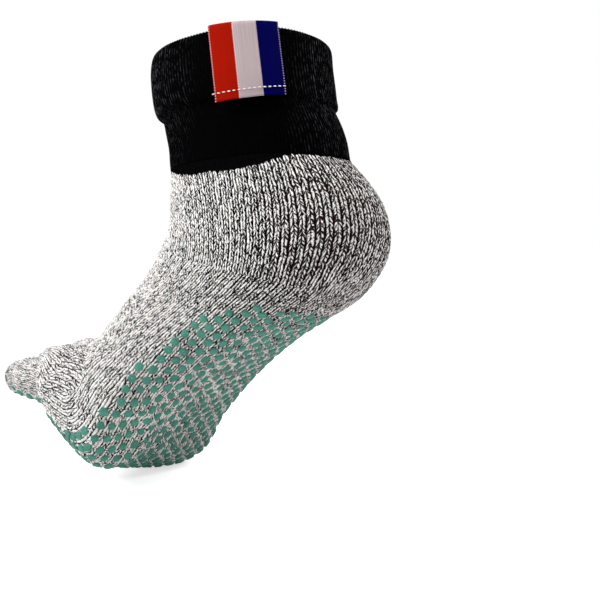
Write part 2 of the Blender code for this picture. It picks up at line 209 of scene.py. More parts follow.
# The ribbon's stripes, as shares across it, its path over the rim, and its sewing
RIBBON_RED = 0.34
RIBBON_PALE = 0.68
RIBBON_COLUMNS = 32
RIBBON_ROWS = 90
RIBBON_RIPPLE = 0.25 * MM
TAB_CENTRE = math.radians(TAB_TURN)
TAB_TOP = 0.97
LEAF_POINTS = 9
BEND_POINTS = 6
BEND_FROM = math.radians(30)
BEND_TO = math.radians(150)
RIPPLED_SHARE = 0.45
RIPPLE_TURNS = 5 * math.pi
TAB_END = 1 - TAB_DROP / CUFF_HEIGHT
TURN_STEP = 0.05
RIBBON_STITCHES = 15
STITCH_UP = 1 - 0.89 * TAB_DROP / CUFF_HEIGHT
STITCH_ROW = (-0.52, 0.49)
STITCH_LENGTH = 0.66 * TAB_WIDTH / RIBBON_STITCHES
STITCH_RINGS = 7
STITCH_RISE = 0.35 * MM
STITCH_LIFT = 0.1 * MM
THREAD_RADIUS = 0.28 * MM
THREAD_SIDES = 6
# A direction that no stitch follows
OFF_STITCH = (0.3, 0.2, 1.0)

# The camera, from the ball of the foot
SENSOR = 36.0
LENS = 91.82
CAMERA_SPOT = (-479.4 * MM, 531.1 * MM, 122.15 * MM)
CAMERA_HEADING = 35.93
CAMERA_PITCH = 3.62

# The studio's light
SKY_LIGHT = 0.42
FLOOR_LIFT = 0.64
FLOOR_REACH = (0.05, 0.4, 1.5, 6.0)
FLOOR_SIDES = 96
LightRow = namedtuple("LightRow", "name spot aim size power")
LIGHTS = (
    LightRow("key", (0.62, 0.78, 0.62), (0, 0, -0.08), 0.55, 15.0),
    LightRow("top", (-0.15, 0.1, 1.1), (0, 0, -0.05), 0.5, 5.0),
    LightRow("edge", (-0.64, -0.52, 0.56), (-0.03, 0, -0.08), 0.35, 5.0),
)

# Colours
WARM_PLY = (0.84, 0.80, 0.77, 1)
COOL_PLY = (0.86, 0.86, 0.84, 1)
DARK_CORE = (0.004, 0.004, 0.005, 1)
HEEL_CORE = (0.018, 0.008, 0.007, 1)
TOE_CORE = (0.050, 0.048, 0.048, 1)
BLACK_ROW = (0.0012, 0.0012, 0.0015, 1)
RIB_BLACK = (0.0004, 0.0004, 0.0006, 1)
# Grey of the cuff's painted sheen on its rib crests
RIB_SHEEN = (0.18, 0.18, 0.20, 1)
GREEN_DEEP = (0.026, 0.165, 0.120, 1)
GREEN_MIDDLE = (0.048, 0.235, 0.175, 1)
GREEN_DUSTY = (0.22, 0.42, 0.36, 1)
SATIN_RED = (0.32, 0.006, 0.0004, 1)
SATIN_PALE = (0.44, 0.355, 0.365, 1)
SATIN_BLUE = (0.0001, 0.0001, 0.064, 1)
SELVEDGE = (0.72, 0.66, 0.66, 1)
THREAD_SHADED = (0.62, 0.58, 0.58, 1)
THREAD_WHITE = (0.92, 0.90, 0.90, 1)
FLOOR_SHADED = (0.88, 0.88, 0.88, 1)
FLOOR_WHITE = (0.90, 0.90, 0.90, 1)

# Where the colours change, in metres: along the sock, up the cuff, and across the tab's face
HEEL_OPEN = (-0.070, 0.020)
HEEL_BROWN = (-0.080, -0.040)
TOES_PALE = (-0.020, 0.100)
# The cuff's painted sheen grows over these heights up the cuff, and over these distances from the tab's
# middle line to its sides
CUFF_SHEEN = (-0.060, -0.020)
SIDES_SHEEN = (0.016, 0.038)
ACROSS_TAB = (0.81, 0.587, 0.0)

# Where the dots lie: (distance along the sole from the cuff, distance round from its middle), in mm
DOT_START = 94 * MM
DOT_EDGE = ((90, 6), (97, 31), (110, 38), (118, 43), (144, 43), (156, 44), (170, 47), (182, 50),
            (195, 54), (209, 58), (240, 52), (260, 46))

# The powers of the sections' outlines at their fronts, and at a leg section's back too: 2 is an
# ellipse, and more is squarer
LEG_POWER = 2.2
HEEL_POWER = 2.15
FOOT_POWER = 2.1
BALL_POWER = 2.2

# A section lies across the sock, from a back (or sole) point to a front (or top) point of the side
# plane.  widest is where it is widest, as a share of that line, skew leans its lateral side back, and
# lean lifts it.
Section = namedtuple("Section", "back front lateral medial widest back_power front_power skew lean")

# Heel sections fan round the front of the ankle.  along and up place the back point, as shares of
# HEEL_TO_BALL and HEEL_HEIGHT; forward and rise place the front point from the ankle's centre, as
# shares of CREASE_FORWARD and CREASE_UP; width is a share of HEEL_WIDTH and lean one of JOIN_LEAN.
HeelRow = namedtuple("HeelRow", "along up forward rise width widest back_power lean")
HEEL_ROWS = (
    HeelRow(0.993, 1.08, 0.685, 1.00, 0.97, 0.49, 2.2, 0.6),
    HeelRow(1.000, 0.75, 0.735, 0.81, 1.01, 0.47, 2.2, 0.3),
    HeelRow(0.985, 0.45, 0.790, 0.66, 1.03, 0.45, 2.2, 0.1),
    HeelRow(0.945, 0.20, 0.855, 0.56, 1.03, 0.42, 2.3, 0.0),
    HeelRow(0.875, 0.05, 0.925, 0.49, 1.02, 0.39, 2.4, 0.0),
    HeelRow(0.770, 0.00, 1.000, 0.43, 1.00, 0.36, 2.5, 0.0),
)

# Foot sections.  sole_along and top_along are shares of HEEL_TO_BALL; arch is a share of ARCH_RISE;
# instep and ball are shares of INSTEP_HEIGHT and BALL_HEIGHT that add up to the top's height;
# spread goes from the waist's half widths (0) to the ball's (1).
FootRow = namedtuple("FootRow", "sole_along arch top_along instep ball spread widest back_power skew")
FOOT_ROWS = (
    FootRow(0.590, 1.2, 0.356, 1.00, 0.00, 0.00, 0.34, 2.5, 0.00),
    FootRow(0.400, 1.6, 0.266, 0.90, 0.02, 0.42, 0.35, 2.5, 0.04),
    FootRow(0.210, 0.5, 0.163, 0.45, 0.60, 0.92, 0.37, 2.6, 0.10),
)

# Ball sections roll the sole over from its pitch to the spring of the toes.  The sole's and the top's
# places are shares of WEB_ALONG and BALL_HEIGHT from the lowest point, and spread is a share of the
# ball's half widths.
BallRow = namedtuple("BallRow", "sole_along sole_up top_along top_up spread widest back_power skew")
BALL_ROWS = (
    BallRow(-0.55, 0.13, 0.66, 1.26, 1.02, 0.38, 3.2, 0.14),
    BallRow(-0.05, -0.02, 0.86, 1.21, 1.03, 0.40, 3.2, 0.22),
    BallRow(0.52, 0.08, 1.08, 1.20, 1.02, 0.42, 3.0, 0.29),
    BallRow(1.10, 0.25, 1.36, 1.20, 0.97, 0.45, 2.6, 0.36),
)

# The web's dome closes the foot between the toe pockets: shares of WEB_DOME and of the last section.
DomeRow = namedtuple("DomeRow", "along size")
DOME_ROWS = (
    DomeRow(0.35, 0.94),
    DomeRow(0.70, 0.78),
    DomeRow(0.92, 0.50),
    DomeRow(1.00, 0.16),
)

# Toe pockets, from the big toe to the little toe.  Each has an axis from its root inside the foot to
# the centre of its tip: along is a share of TOE_REACH, across a share of the ball's half width on that
# side, up a share of BALL_HEIGHT.  bend raises the axis's middle by a share of TOE_DEPTH; width and
# height are shares of TOE_BREADTH and TOE_DEPTH.
ToeRow = namedtuple("ToeRow", "name root_along root_across root_up tip_along tip_across tip_up "
                    "bend width height")
TOE_ROWS = (
    ToeRow("big", 0.26, -0.60, 0.83, 0.95, -0.62, 1.07, 0.04, 1.12, 1.12),
    ToeRow("second", 0.28, -0.24, 0.66, 0.98, -0.16, 1.02, 0.16, 0.78, 0.82),
    ToeRow("third", 0.22, 0.10, 0.53, 1.08, 0.17, 0.86, 0.30, 0.70, 0.66),
    ToeRow("fourth", 0.08, 0.46, 0.40, 0.72, 0.50, 0.87, 0.16, 0.80, 0.80),
    ToeRow("little", -0.24, 0.72, 0.40, 0.19, 0.76, 0.90, 0.22, 1.04, 1.24),
)

# A pocket's rings from its root to its tip.  along is a share of the axis, beyond a share of half the
# pocket's height past the tip's centre, and size a share of its size.
ToeRing = namedtuple("ToeRing", "along beyond size")
TOE_RINGS = (
    ToeRing(0.00, 0.00, 0.96),
    ToeRing(0.30, 0.00, 0.96),
    ToeRing(0.60, 0.00, 0.98),
    ToeRing(0.85, 0.00, 1.00),
    ToeRing(1.00, 0.00, 0.97),
    ToeRing(1.00, 0.45, 0.84),
    ToeRing(1.00, 0.78, 0.57),
    ToeRing(1.00, 0.97, 0.20),
)

# The cuff from its lower edge to its rim.  up is a share of CUFF_HEIGHT and rim goes from the ankle's
# sizes (0) to the rim's (1).
CuffRow = namedtuple("CuffRow", "up rim")
CUFF_ROWS = (
    CuffRow(0.00, 0.00),
    CuffRow(0.20, 0.18),
    CuffRow(0.40, 0.54),
    CuffRow(0.56, 0.80),
    CuffRow(0.78, 0.98),
    CuffRow(1.00, 1.00),
)

# The cuff's wall, up its outside, over its rounded rim and down its inside.  up is a share of
# CUFF_HEIGHT, swell a share of WELT_WALL added outside, and wall the share of the way to the inside.
WallRow = namedtuple("WallRow", "up swell wall")
WALL_ROWS = (
    WallRow(0.00, 0.00, 0.0),
    WallRow(0.18, -0.10, 0.0),
    WallRow(0.36, -0.34, 0.0),
    WallRow(0.45, -0.50, 0.0),
    WallRow(0.47, -0.04, 0.0),
    WallRow(0.54, 0.10, 0.0),
    WallRow(0.68, 0.11, 0.0),
    WallRow(0.84, 0.05, 0.0),
    WallRow(0.955, 0.00, 0.03),
    WallRow(0.99, 0.00, 0.22),
    WallRow(1.00, 0.00, 0.50),
    WallRow(0.99, 0.00, 0.78),
    WallRow(0.955, 0.00, 0.97),
    WallRow(0.80, 0.00, 1.0),
    WallRow(0.56, 0.00, 1.0),
    WallRow(0.40, 0.00, 1.0),
    WallRow(0.20, 0.00, 1.0),
    WallRow(0.00, 0.00, 1.0),
)


def on_foot(along, up):
    """A side-plane point given along and above the sole, which is pitched up behind the ball."""
    pitch = math.radians(SOLE_PITCH)
    return np.array([along * math.cos(pitch) + up * math.sin(pitch),
                     up * math.cos(pitch) - along * math.sin(pitch)])


def leg_axes():
    """The ankle's centre and the leg's forward and upward directions, in the side plane."""
    lean = math.radians(LEG_LEAN)
    centre = on_foot(-ANKLE_ALONG, ANKLE_RISE)
    forward = np.array([math.cos(lean), -math.sin(lean)])
    upward = np.array([math.sin(lean), math.cos(lean)])
    return centre, forward, upward


def leg_section(up, depth, width, tilt, lean, shift=0.0):
    """A section across the leg at a height above the ankle.

    tilt lowers its front edge and lean lifts its lateral side, in degrees.
    """
    centre, forward, upward = leg_axes()
    drop = math.tan(math.radians(tilt)) * depth / 2
    back = centre + forward * (shift - depth / 2) + upward * (up + drop)
    front = centre + forward * (shift + depth / 2) + upward * (up - drop)
    slope = math.tan(math.radians(lean))
    return Section(back, front, width / 2, width / 2, 0.5, LEG_POWER, LEG_POWER, 0.0, slope)


def cuff_section(share, outward=0.0, straight=False):
    """The cuff's section at a share of its height, moved out from its base surface.

    A straight one follows the ribbon, which keeps the rim's width and hangs in a line to its end.
    """
    shares = [row.up for row in CUFF_ROWS]
    rims = [row.rim for row in CUFF_ROWS]
    rim = float(np.interp(share, shares, rims))
    width = ANKLE_WIDTH + (RIM_WIDTH - ANKLE_WIDTH) * rim + 2 * outward
    if straight:
        rim = float(np.interp(share, [TAB_END, 1.0], [np.interp(TAB_END, shares, rims), 1.0]))
        width = RIM_WIDTH + 2 * outward
    depth = ANKLE_DEPTH + (RIM_DEPTH - ANKLE_DEPTH) * rim + 2 * outward
    tilt = JOIN_TILT + (RIM_TILT - JOIN_TILT) * share
    lean = JOIN_LEAN * (1 - share)
    return leg_section(CUFF_FROM + GAP + CUFF_HEIGHT * share, depth, width, tilt, lean, RIM_FORWARD * rim)


def knit_sections():
    """The sections of the knit body, from the cuff's lower edge round the heel to the toes' web."""
    rows = [leg_section(CUFF_FROM, ANKLE_DEPTH, ANKLE_WIDTH, JOIN_TILT, JOIN_LEAN)]
    for row in HEEL_ROWS:
        back = on_foot(-row.along * HEEL_TO_BALL, row.up * HEEL_HEIGHT)
        front = on_foot(row.forward * CREASE_FORWARD - ANKLE_ALONG, ANKLE_RISE + row.rise * CREASE_UP)
        half = row.width * HEEL_WIDTH / 2
        lean = math.tan(math.radians(JOIN_LEAN * row.lean))
        rows.append(Section(back, front, half, half, row.widest, row.back_power, HEEL_POWER, 0.0, lean))
    for row in FOOT_ROWS:
        back = on_foot(-row.sole_along * HEEL_TO_BALL, row.arch * ARCH_RISE)
        height = row.instep * INSTEP_HEIGHT + row.ball * BALL_HEIGHT
        front = on_foot(-row.top_along * HEEL_TO_BALL, height)
        lateral = WAIST_LATERAL + (BALL_LATERAL - WAIST_LATERAL) * row.spread
        medial = WAIST_MEDIAL + (BALL_MEDIAL - WAIST_MEDIAL) * row.spread
        rows.append(Section(back, front, lateral, medial, row.widest, row.back_power, FOOT_POWER,
                            row.skew, 0.0))
    for row in BALL_ROWS:
        back = np.array([row.sole_along * WEB_ALONG, row.sole_up * BALL_HEIGHT])
        front = np.array([row.top_along * WEB_ALONG, row.top_up * BALL_HEIGHT])
        rows.append(Section(back, front, row.spread * BALL_LATERAL, row.spread * BALL_MEDIAL,
                            row.widest, row.back_power, BALL_POWER, row.skew, 0.0))
    return rows


def as_numbers(sections):
    """The sections as an array, a row for each."""
    return np.array([[*item.back, *item.front, *item[2:]] for item in sections])


def through(rows, places):
    """Values of a Catmull-Rom spline through the rows, at real row numbers."""
    last = len(rows) - 1
    start = np.clip(np.floor(places).astype(int), 0, last - 1)
    part = (places - start)[:, None]
    here = rows[start]
    after = rows[start + 1]
    before = np.where(start[:, None] > 0, rows[np.maximum(start - 1, 0)], 2 * here - after)
    beyond = np.where(start[:, None] < last - 1, rows[np.minimum(start + 2, last)], 2 * after - here)
    return 0.5 * (2 * here + (after - before) * part
                  + (2 * before - 5 * here + 4 * after - beyond) * part ** 2
                  + (3 * here - before - 3 * after + beyond) * part ** 3)


def section_points(numbers, turns):
    """Points round sections at angles from their fronts: superellipses in two halves.

    The front and back halves share the widest line, and each has its own power.  The lateral and
    medial sides have their own half widths.
    """
    back_x, back_z, front_x, front_z, lateral, medial, widest, back_power, front_power, skew, lean = (
        column[:, None] for column in numbers.T)
    cosine = np.cos(turns)
    sine = np.sin(turns)
    power = np.where(cosine > 0, front_power, back_power)
    reach = np.where(cosine > 0, 1 - widest, widest)
    share = widest + np.sign(cosine) * np.abs(cosine) ** (2 / power) * reach
    side = np.sign(sine) * np.abs(sine) ** (2 / power) * np.where(sine > 0, lateral, medial)
    return np.stack([back_x + (front_x - back_x) * share - skew * side, side,
                     back_z + (front_z - back_z) * share + lean * side], axis=-1)


def evenly_round(numbers, steps):
    """Rings of points at even distances round each section, the first at its front."""
    dense = np.linspace(0, 2 * math.pi, DENSE_STEPS + 1)
    rings = []
    for outline in section_points(numbers, dense[None]):
        walked = walked_down(outline[:, None])
        even = np.arange(steps) * walked[-1] / steps
        rings.append(np.stack([np.interp(even, walked, axis) for axis in outline.T], axis=-1))
    return np.array(rings)


def sideways(points):
    """Leans what lies above the ankle to the side."""
    centre, _, upward = leg_axes()
    height = (points[..., 0] - centre[0]) * upward[0] + (points[..., 2] - centre[1]) * upward[1]
    moved = points.copy()
    moved[..., 1] += np.maximum(height, 0) * math.tan(math.radians(LEG_SIDE))
    return moved


def rolled(points):
    """Rolls points about the ball's long axis, so that the little toe's side rises."""
    roll = math.radians(FOOT_ROLL)
    across = points[..., 1] * math.cos(roll) - points[..., 2] * math.sin(roll)
    up = points[..., 1] * math.sin(roll) + points[..., 2] * math.cos(roll)
    return np.stack([points[..., 0], across, up], axis=-1)


def placed(points):
    """Points of the form, rolled and moved to the frame whose origin is the opening's centre."""
    rim = section_points(as_numbers([cuff_section(1.0)]), np.array([[0.0, math.pi]]))
    centre = rolled(sideways(rim)).mean(axis=(0, 1))
    return rolled(sideways(points)) - centre


def rim_centre():
    """The opening's centre, from the ball of the foot."""
    return placed(np.zeros((1, 3)))[0] * -1


def grid_normals(grid):
    """Unit normals of a grid of rings, all to one side."""
    around = np.roll(grid, -1, axis=1) - np.roll(grid, 1, axis=1)
    normal = np.cross(around, np.gradient(grid, axis=0))
    return normal / (np.linalg.norm(normal, axis=2, keepdims=True) + 1e-12)


def closed_round(grid):
    """Outward unit normals of a grid of rings."""
    normal = grid_normals(grid)
    middle = grid.mean(axis=1, keepdims=True)
    return normal * np.sign(np.sum(normal * (grid - middle), axis=(1, 2), keepdims=True))


def walked_down(rings):
    """Distance walked down a grid of rings, each step as long as its widest gap."""
    gaps = np.linalg.norm(np.diff(rings, axis=0), axis=2).max(axis=1)
    return np.concatenate([[0], np.cumsum(gaps)])


def domed(rings, height):
    """Rings with the web's dome added after the last of them."""
    last = rings[-1]
    middle = last.mean(axis=0)
    ahead = middle - rings[-2].mean(axis=0)
    ahead /= np.linalg.norm(ahead)
    dome = [middle + (last - middle) * row.size + ahead * row.along * height for row in DOME_ROWS]
    return np.concatenate([rings, dome])


def toe_frame(toe):
    """A toe pocket's root, its tip's centre, its three directions and its half sizes."""
    half = BALL_LATERAL if toe.tip_across > 0 else BALL_MEDIAL
    root = np.array([toe.root_along * TOE_REACH, toe.root_across * half, toe.root_up * BALL_HEIGHT])
    tip = np.array([toe.tip_along * TOE_REACH, toe.tip_across * half, toe.tip_up * BALL_HEIGHT])
    ahead = (tip - root) / np.linalg.norm(tip - root)
    across = np.cross([0.0, 0.0, 1.0], ahead)
    across /= np.linalg.norm(across)
    upward = np.cross(ahead, across)
    return root, tip, (ahead, across, upward), toe.width * TOE_BREADTH / 2, toe.height * TOE_DEPTH / 2


def toe_rings(toe):
    """Rings of one toe pocket, from its root inside the foot to its rounded tip."""
    root, tip, (ahead, across, upward), wide, high = toe_frame(toe)
    turns = np.arange(TOE_STEPS) * 2 * math.pi / TOE_STEPS
    rings = []
    for ring in TOE_RINGS:
        rise = toe.bend * TOE_DEPTH * 4 * ring.along * (1 - ring.along)
        centre = root + (tip - root) * ring.along + ahead * ring.beyond * high + upward * rise
        rings.append(centre + ring.size * (np.outer(np.cos(turns), across) * wide
                                           + np.outer(np.sin(turns), upward) * high))
    return np.array(rings)


def wall_points(row):
    """The cuff section that a row of its wall table stands for."""
    thick = CUFF_WALL if row.up < WELT_FROM else WELT_WALL
    return cuff_section(row.up, row.swell * WELT_WALL - row.wall * thick)


def tab_path():
    """The ribbon's inner face in the wall's plane: heights as shares and distances out."""
    shares = np.linspace(TAB_END, TAB_TOP, LEAF_POINTS)
    bow = TAB_BOW * np.sin(np.linspace(0, math.pi, LEAF_POINTS))
    path = [(share, TAB_GAP + lift) for share, lift in zip(shares, bow)]
    radius = WELT_WALL / 2 + TAB_GAP
    for angle in np.linspace(BEND_FROM, BEND_TO, BEND_POINTS):
        path.append((1.0 + (radius * math.sin(angle) - WELT_WALL / 2 + TAB_STAND) / CUFF_HEIGHT,
                     -WELT_WALL / 2 + radius * math.cos(angle)))
    inside = np.linspace(TAB_TOP, 1 - TAB_INSIDE / CUFF_HEIGHT, BEND_POINTS)
    return np.array(path + [(share, -WELT_WALL - TAB_GAP) for share in inside])


def even_places(numbers, step):
    """Row numbers along the sections, so that no two rings are further apart than the step.

    The widest gap between neighbouring dense rings is added up and cut into equal parts.
    """
    dense = np.linspace(0, len(numbers) - 1, DENSE_ROWS * len(numbers))
    walked = walked_down(evenly_round(through(numbers, dense), DENSE_ROWS))
    count = int(walked[-1] / step) + 1
    return np.interp(np.linspace(0, walked[-1], count), walked, dense)


def toe_distance(points, toe):
    """How far points are outside a toe pocket, as an ellipsoid swept along its axis."""
    root, tip, (ahead, across, upward), wide, high = toe_frame(toe)
    length = np.linalg.norm(tip - root)
    share = np.clip((points - root) @ ahead / length, 0, 1)
    rise = toe.bend * TOE_DEPTH * 4 * share * (1 - share)
    local = points - root - ahead * (share * length)[..., None] - upward * rise[..., None]
    radius = np.sqrt((local @ across / wide) ** 2 + (local @ upward / high) ** 2
                     + (local @ ahead / high) ** 2)
    return (radius - 1) * min(wide, high)


def join_push(distance, reach):
    """How far a surface moves out near another one, so that the two meet in a fillet.

    It is a quarter of the reach times the square of the share of the reach that is left.
    """
    near = np.clip(1 - np.abs(distance) / reach, 0, 1)
    return near ** 2 * reach / 4


def body_rings(places, columns):
    """The knit body's outer surface and its normals, with its fillets against the toe pockets."""
    rings = evenly_round(through(as_numbers(knit_sections()), places), columns)
    rings = domed(rings, WEB_DOME)
    push = np.max([join_push(toe_distance(rings, toe), TOE_JOIN) for toe in TOE_ROWS], axis=0)
    rings = rings + closed_round(rings) * push[..., None]
    return rings, closed_round(rings)


def fine_toe(toe, columns, step):
    """A toe pocket's outer surface on a fine grid, with its fillet against the knit body.

    The coarse rings are joined by a Catmull-Rom spline, first along the pocket and then around it.
    """
    coarse = toe_rings(toe)
    rings = np.concatenate([coarse, toe_tip(coarse)[None]])
    dense = through_points(rings, np.linspace(0, len(rings) - 1, int(walked_down(rings)[-1] / step)))
    around = np.concatenate([dense, dense[:, :3]], axis=1).swapaxes(0, 1)
    turns = 1 + np.arange(columns) * TOE_STEPS / columns
    return np.roll(through_points(around, turns).swapaxes(0, 1), columns // TOE_STEPS, axis=1)


def toe_tip(rings):
    """The small last ring that closes a pocket."""
    last = rings[-1]
    middle = last.mean(axis=0)
    ahead = middle - rings[-2].mean(axis=0)
    return middle + (last - middle) * TIP_SIZE + ahead * TIP_AHEAD


def through_points(rows, places):
    """The spline of through() for rows of points."""
    flat = through(rows.reshape(len(rows), -1), places)
    return flat.reshape(len(places), *rows.shape[1:])


def wandering(points, kind):
    """Soft noise of a kind: the mean of sine waves across the points in seeded directions."""
    draw = np.random.default_rng(kind.seed)
    total = np.zeros(points.shape[:-1])
    for _ in range(WAVES):
        wave = draw.normal(size=3) * 2 * math.pi / kind.length / WAVE_SPREAD
        total += np.sin(points @ wave + draw.uniform(0, 2 * math.pi))
    return total / WAVES * kind.amount


def stitch_height(wale, course):
    """Relief of plain knit, 0 to 1, from wale and course numbers.

    Each wale is two legs that lean apart towards the toes.  A leg's profile is half an ellipse over
    its half of the wale, clear of the wale's edge, and it swells between the two ends where it passes
    under its neighbours.
    """
    inward = 1 - np.abs(1 - 2 * (wale % 1.0))
    leg = np.sqrt(np.clip(1 - ((inward - LEG_MIDDLE) / LEG_HALF) ** 2, 0, 1))
    part = (course + STITCH_SLANT * inward) % 1.0
    return leg * (1 - END_DIP + END_DIP * np.sin(math.pi * part) ** END_POWER)


def grid_faces(count, around):
    """Corner numbers of the quads between rings that close round."""
    here = np.arange(count - 1)[:, None] * around + np.arange(around)[None]
    side = np.arange(count - 1)[:, None] * around + (np.arange(around)[None] + 1) % around
    return np.stack([here, here + around, side + around, side], axis=-1).reshape(-1, 4)


def new_item(name, mesh):
    """An object for a mesh, shaded smooth, in the scene."""
    mesh.shade_smooth()
    item = bpy.data.objects.new(name, mesh)
    bpy.context.scene.collection.objects.link(item)
    return item


def face_mesh(name, points, faces):
    """An object from points and the corner numbers of its faces."""
    mesh = bpy.data.meshes.new(name)
    mesh.from_pydata(points.reshape(-1, 3).tolist(), [], faces)
    return new_item(name, mesh)


def ring_mesh(name, rings, knit=None, closing=None, ends="", flip=False):
    """A mesh over closed rings, with its named ends closed.

    knit holds each vertex's wale and course numbers for a UV map, and closing what the first column's
    are when they are reached from the last column.
    """
    count, around, _ = rings.shape
    faces = grid_faces(count, around)
    caps = []
    if "first" in ends:
        caps.append(np.arange(around))
    if "last" in ends:
        caps.append(np.arange((count - 1) * around, count * around)[::-1])
    if flip:
        faces = faces[:, ::-1]
        caps = [cap[::-1] for cap in caps]
    corners = np.concatenate([faces.ravel(), *caps])
    starts = np.concatenate([np.arange(len(faces)) * 4, len(faces) * 4 + np.arange(len(caps)) * around])
    mesh = bpy.data.meshes.new(name)
    mesh.vertices.add(count * around)
    mesh.vertices.foreach_set("co", rings.astype(np.float32).ravel())
    mesh.loops.add(len(corners))
    mesh.loops.foreach_set("vertex_index", corners.astype(np.int32))
    mesh.polygons.add(len(starts))
    mesh.polygons.foreach_set("loop_start", starts.astype(np.int32))
    mesh.update(calc_edges=True)
    mesh.validate()
    if knit is not None:
        values = knit.reshape(-1, 2)[corners]
        column = faces % around
        wraps = np.flatnonzero((column == 0) & (column.max(axis=1, keepdims=True) == around - 1))
        values[wraps] = closing[faces.ravel()[wraps] // around]
        mesh.uv_layers.new(name="Knit").data.foreach_set("uv", values.astype(np.float32).ravel())
    return new_item(name, mesh)


def dress(item, material, slot, *nodes):
    """Gives a piece its material and body, and hides the solids it stands for; the slot is not used."""
    item.data.materials.append(material)
    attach(item, "root")
    if nodes:
        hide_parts(*nodes)
    return item


def column_lengths(rings):
    """Distance walked down each column of a grid of rings."""
    steps = np.linalg.norm(np.diff(rings, axis=0), axis=2)
    return np.concatenate([np.zeros((1, rings.shape[1])), np.cumsum(steps, axis=0)])


def tube_net(rings, wales):
    """Wale and course numbers of a plain tube: its share round, and the distance down each column."""
    course = column_lengths(rings) / COURSE + FIRST_COURSE
    wale = np.arange(rings.shape[1])[None] * wales / rings.shape[1] + 0 * course
    return np.stack([wale, course], axis=-1)


def heel_net(rings):
    """Wale and course numbers of the leg and heel, whose wales run straight down.

    A wale's number is the distance round from the back's middle line, in wales: an arc about a centre
    that follows some of the back's outline, then the way forward along the side, then an arc at the front.
    A course's number is the height below the cuff's edge, in courses.  The edge sags at the little
    toe's side.
    """
    centre, forward, upward = leg_axes()
    flat = rings[..., [0, 2]] - centre
    ahead = flat @ forward
    height = flat @ upward
    side = rings[..., 1]
    middle = rings.shape[1] // 2
    order = np.argsort(height[:, middle])
    outline = ahead[order, middle]
    back = np.interp(height, height[order, middle], outline[-1] + HEEL_FOLLOW * (outline - outline[-1]))
    front = ahead[:, :1].max()
    turn = HEEL_WIDTH / 2
    past = ahead - back
    straight = front - back - 2 * turn
    at_back = turn * np.arctan2(np.abs(side), turn - past)
    at_front = turn * np.arctan2(past - turn - straight, np.abs(side))
    around = np.where(past < turn, at_back, turn * math.pi / 2 + np.minimum(past - turn, straight))
    around += np.where(past > turn + straight, at_front, 0)
    wale = np.where(side < 0, -around, around) / WALE
    sag = np.clip((side * 2 / ANKLE_WIDTH - DROOP_FROM) / (1 - DROOP_FROM), 0, 1) * BLACK_DROOP
    level = CUFF_FROM - math.tan(math.radians(JOIN_TILT)) * ahead
    level += math.tan(math.radians(JOIN_LEAN)) * side - sag
    return np.stack([wale, (level - height) / COURSE - CUFF_COURSES], axis=-1)


def loosened(rings, net):
    """The net of wale and course numbers, wandering a little so that no two stitches are the same."""
    return net + np.stack([wandering(rings, WALE_WANDER), wandering(rings, COURSE_WANDER)], axis=-1)


def relief(rings, net):
    """Height of the knit over its base surface."""
    height = stitch_height(net[..., 0], net[..., 1]) - RELIEF_LEVEL
    return (height + wandering(rings, RELIEF_WANDER)) * STITCH_RELIEF


def make_knit(material):
    """The leg and heel, and the foot's tube below the heel's gore, as runs of rings of one grid."""
    numbers = as_numbers(knit_sections())
    places = even_places(numbers, ROW_STEP)
    rings, normals = body_rings(places, WALES * WALE_STEPS)
    gore = int(np.searchsorted(places, GORE_ROW))
    heel = loosened(rings[:gore + 1], heel_net(rings[:gore + 1]))
    tube = loosened(rings[gore:], tube_net(rings[gore:], WALES))
    height = np.concatenate([relief(rings[:gore + 1], heel), relief(rings[gore:], tube)[1:]])
    shape = placed(rings + normals * height[..., None])
    knit_run("heel_knit", material, shape[:gore + 1], heel, heel[:, 0] * [-1, 1])
    knit_run("tube_knit", material, shape[gore:], tube, tube[:, 0] + [WALES, 0], "last")
    return rings, normals


def knit_run(name, material, shape, net, closing, ends=""):
    """A run of rings, cut into pieces of at most PIECE_ROWS rows."""
    count = math.ceil((len(shape) - 1) / PIECE_ROWS)
    cuts = np.linspace(0, len(shape) - 1, count + 1).astype(int)
    for number, (start, stop) in enumerate(zip(cuts[:-1], cuts[1:])):
        rows = slice(start, stop + 1)
        item = ring_mesh(f"{name}_{number + 1}", shape[rows], net[rows], closing[rows],
                         ends if number == count - 1 else "")
        dress(item, material, "marl_knit", "foot_knit")


def make_lining(material):
    """The knit's inner side, whose first rows are black, from a ring tucked into the cuff's wall down."""
    numbers = as_numbers(knit_sections())
    rings = evenly_round(through(numbers, even_places(numbers, LINING_STEP)), WALES * LINING_STEPS)
    normals = closed_round(rings)
    inner = domed(rings - normals * KNIT_WALL, WEB_DOME - KNIT_WALL)
    _, _, upward = leg_axes()
    tucked = rings[:1] - normals[:1] * CUFF_WALL / 2 + np.array([upward[0], 0, upward[1]]) * TUCK
    shape = np.concatenate([tucked, rings[:1] - normals[:1] * STITCH_RELIEF, inner])
    net = tube_net(shape, WALES)
    net[:BLACK_ROWS, :, 1] -= 2 * FIRST_COURSE
    item = ring_mesh("knit_lining", placed(shape), net, net[:, 0] + [WALES, 0], "last", flip=True)
    dress(item, material, "marl_knit", "foot_knit")


def spread_out(few, rows, columns):
    """Values on a fine grid that closes round, from every COARSEth row and column of it."""
    down = np.array([np.interp(np.arange(rows) / COARSE, np.arange(len(few)), line) for line in few.T])
    wrapped = np.concatenate([down, down[:1]])
    turns = np.arange(columns) / COARSE
    return np.array([np.interp(turns, np.arange(len(wrapped)), line) for line in wrapped.T])


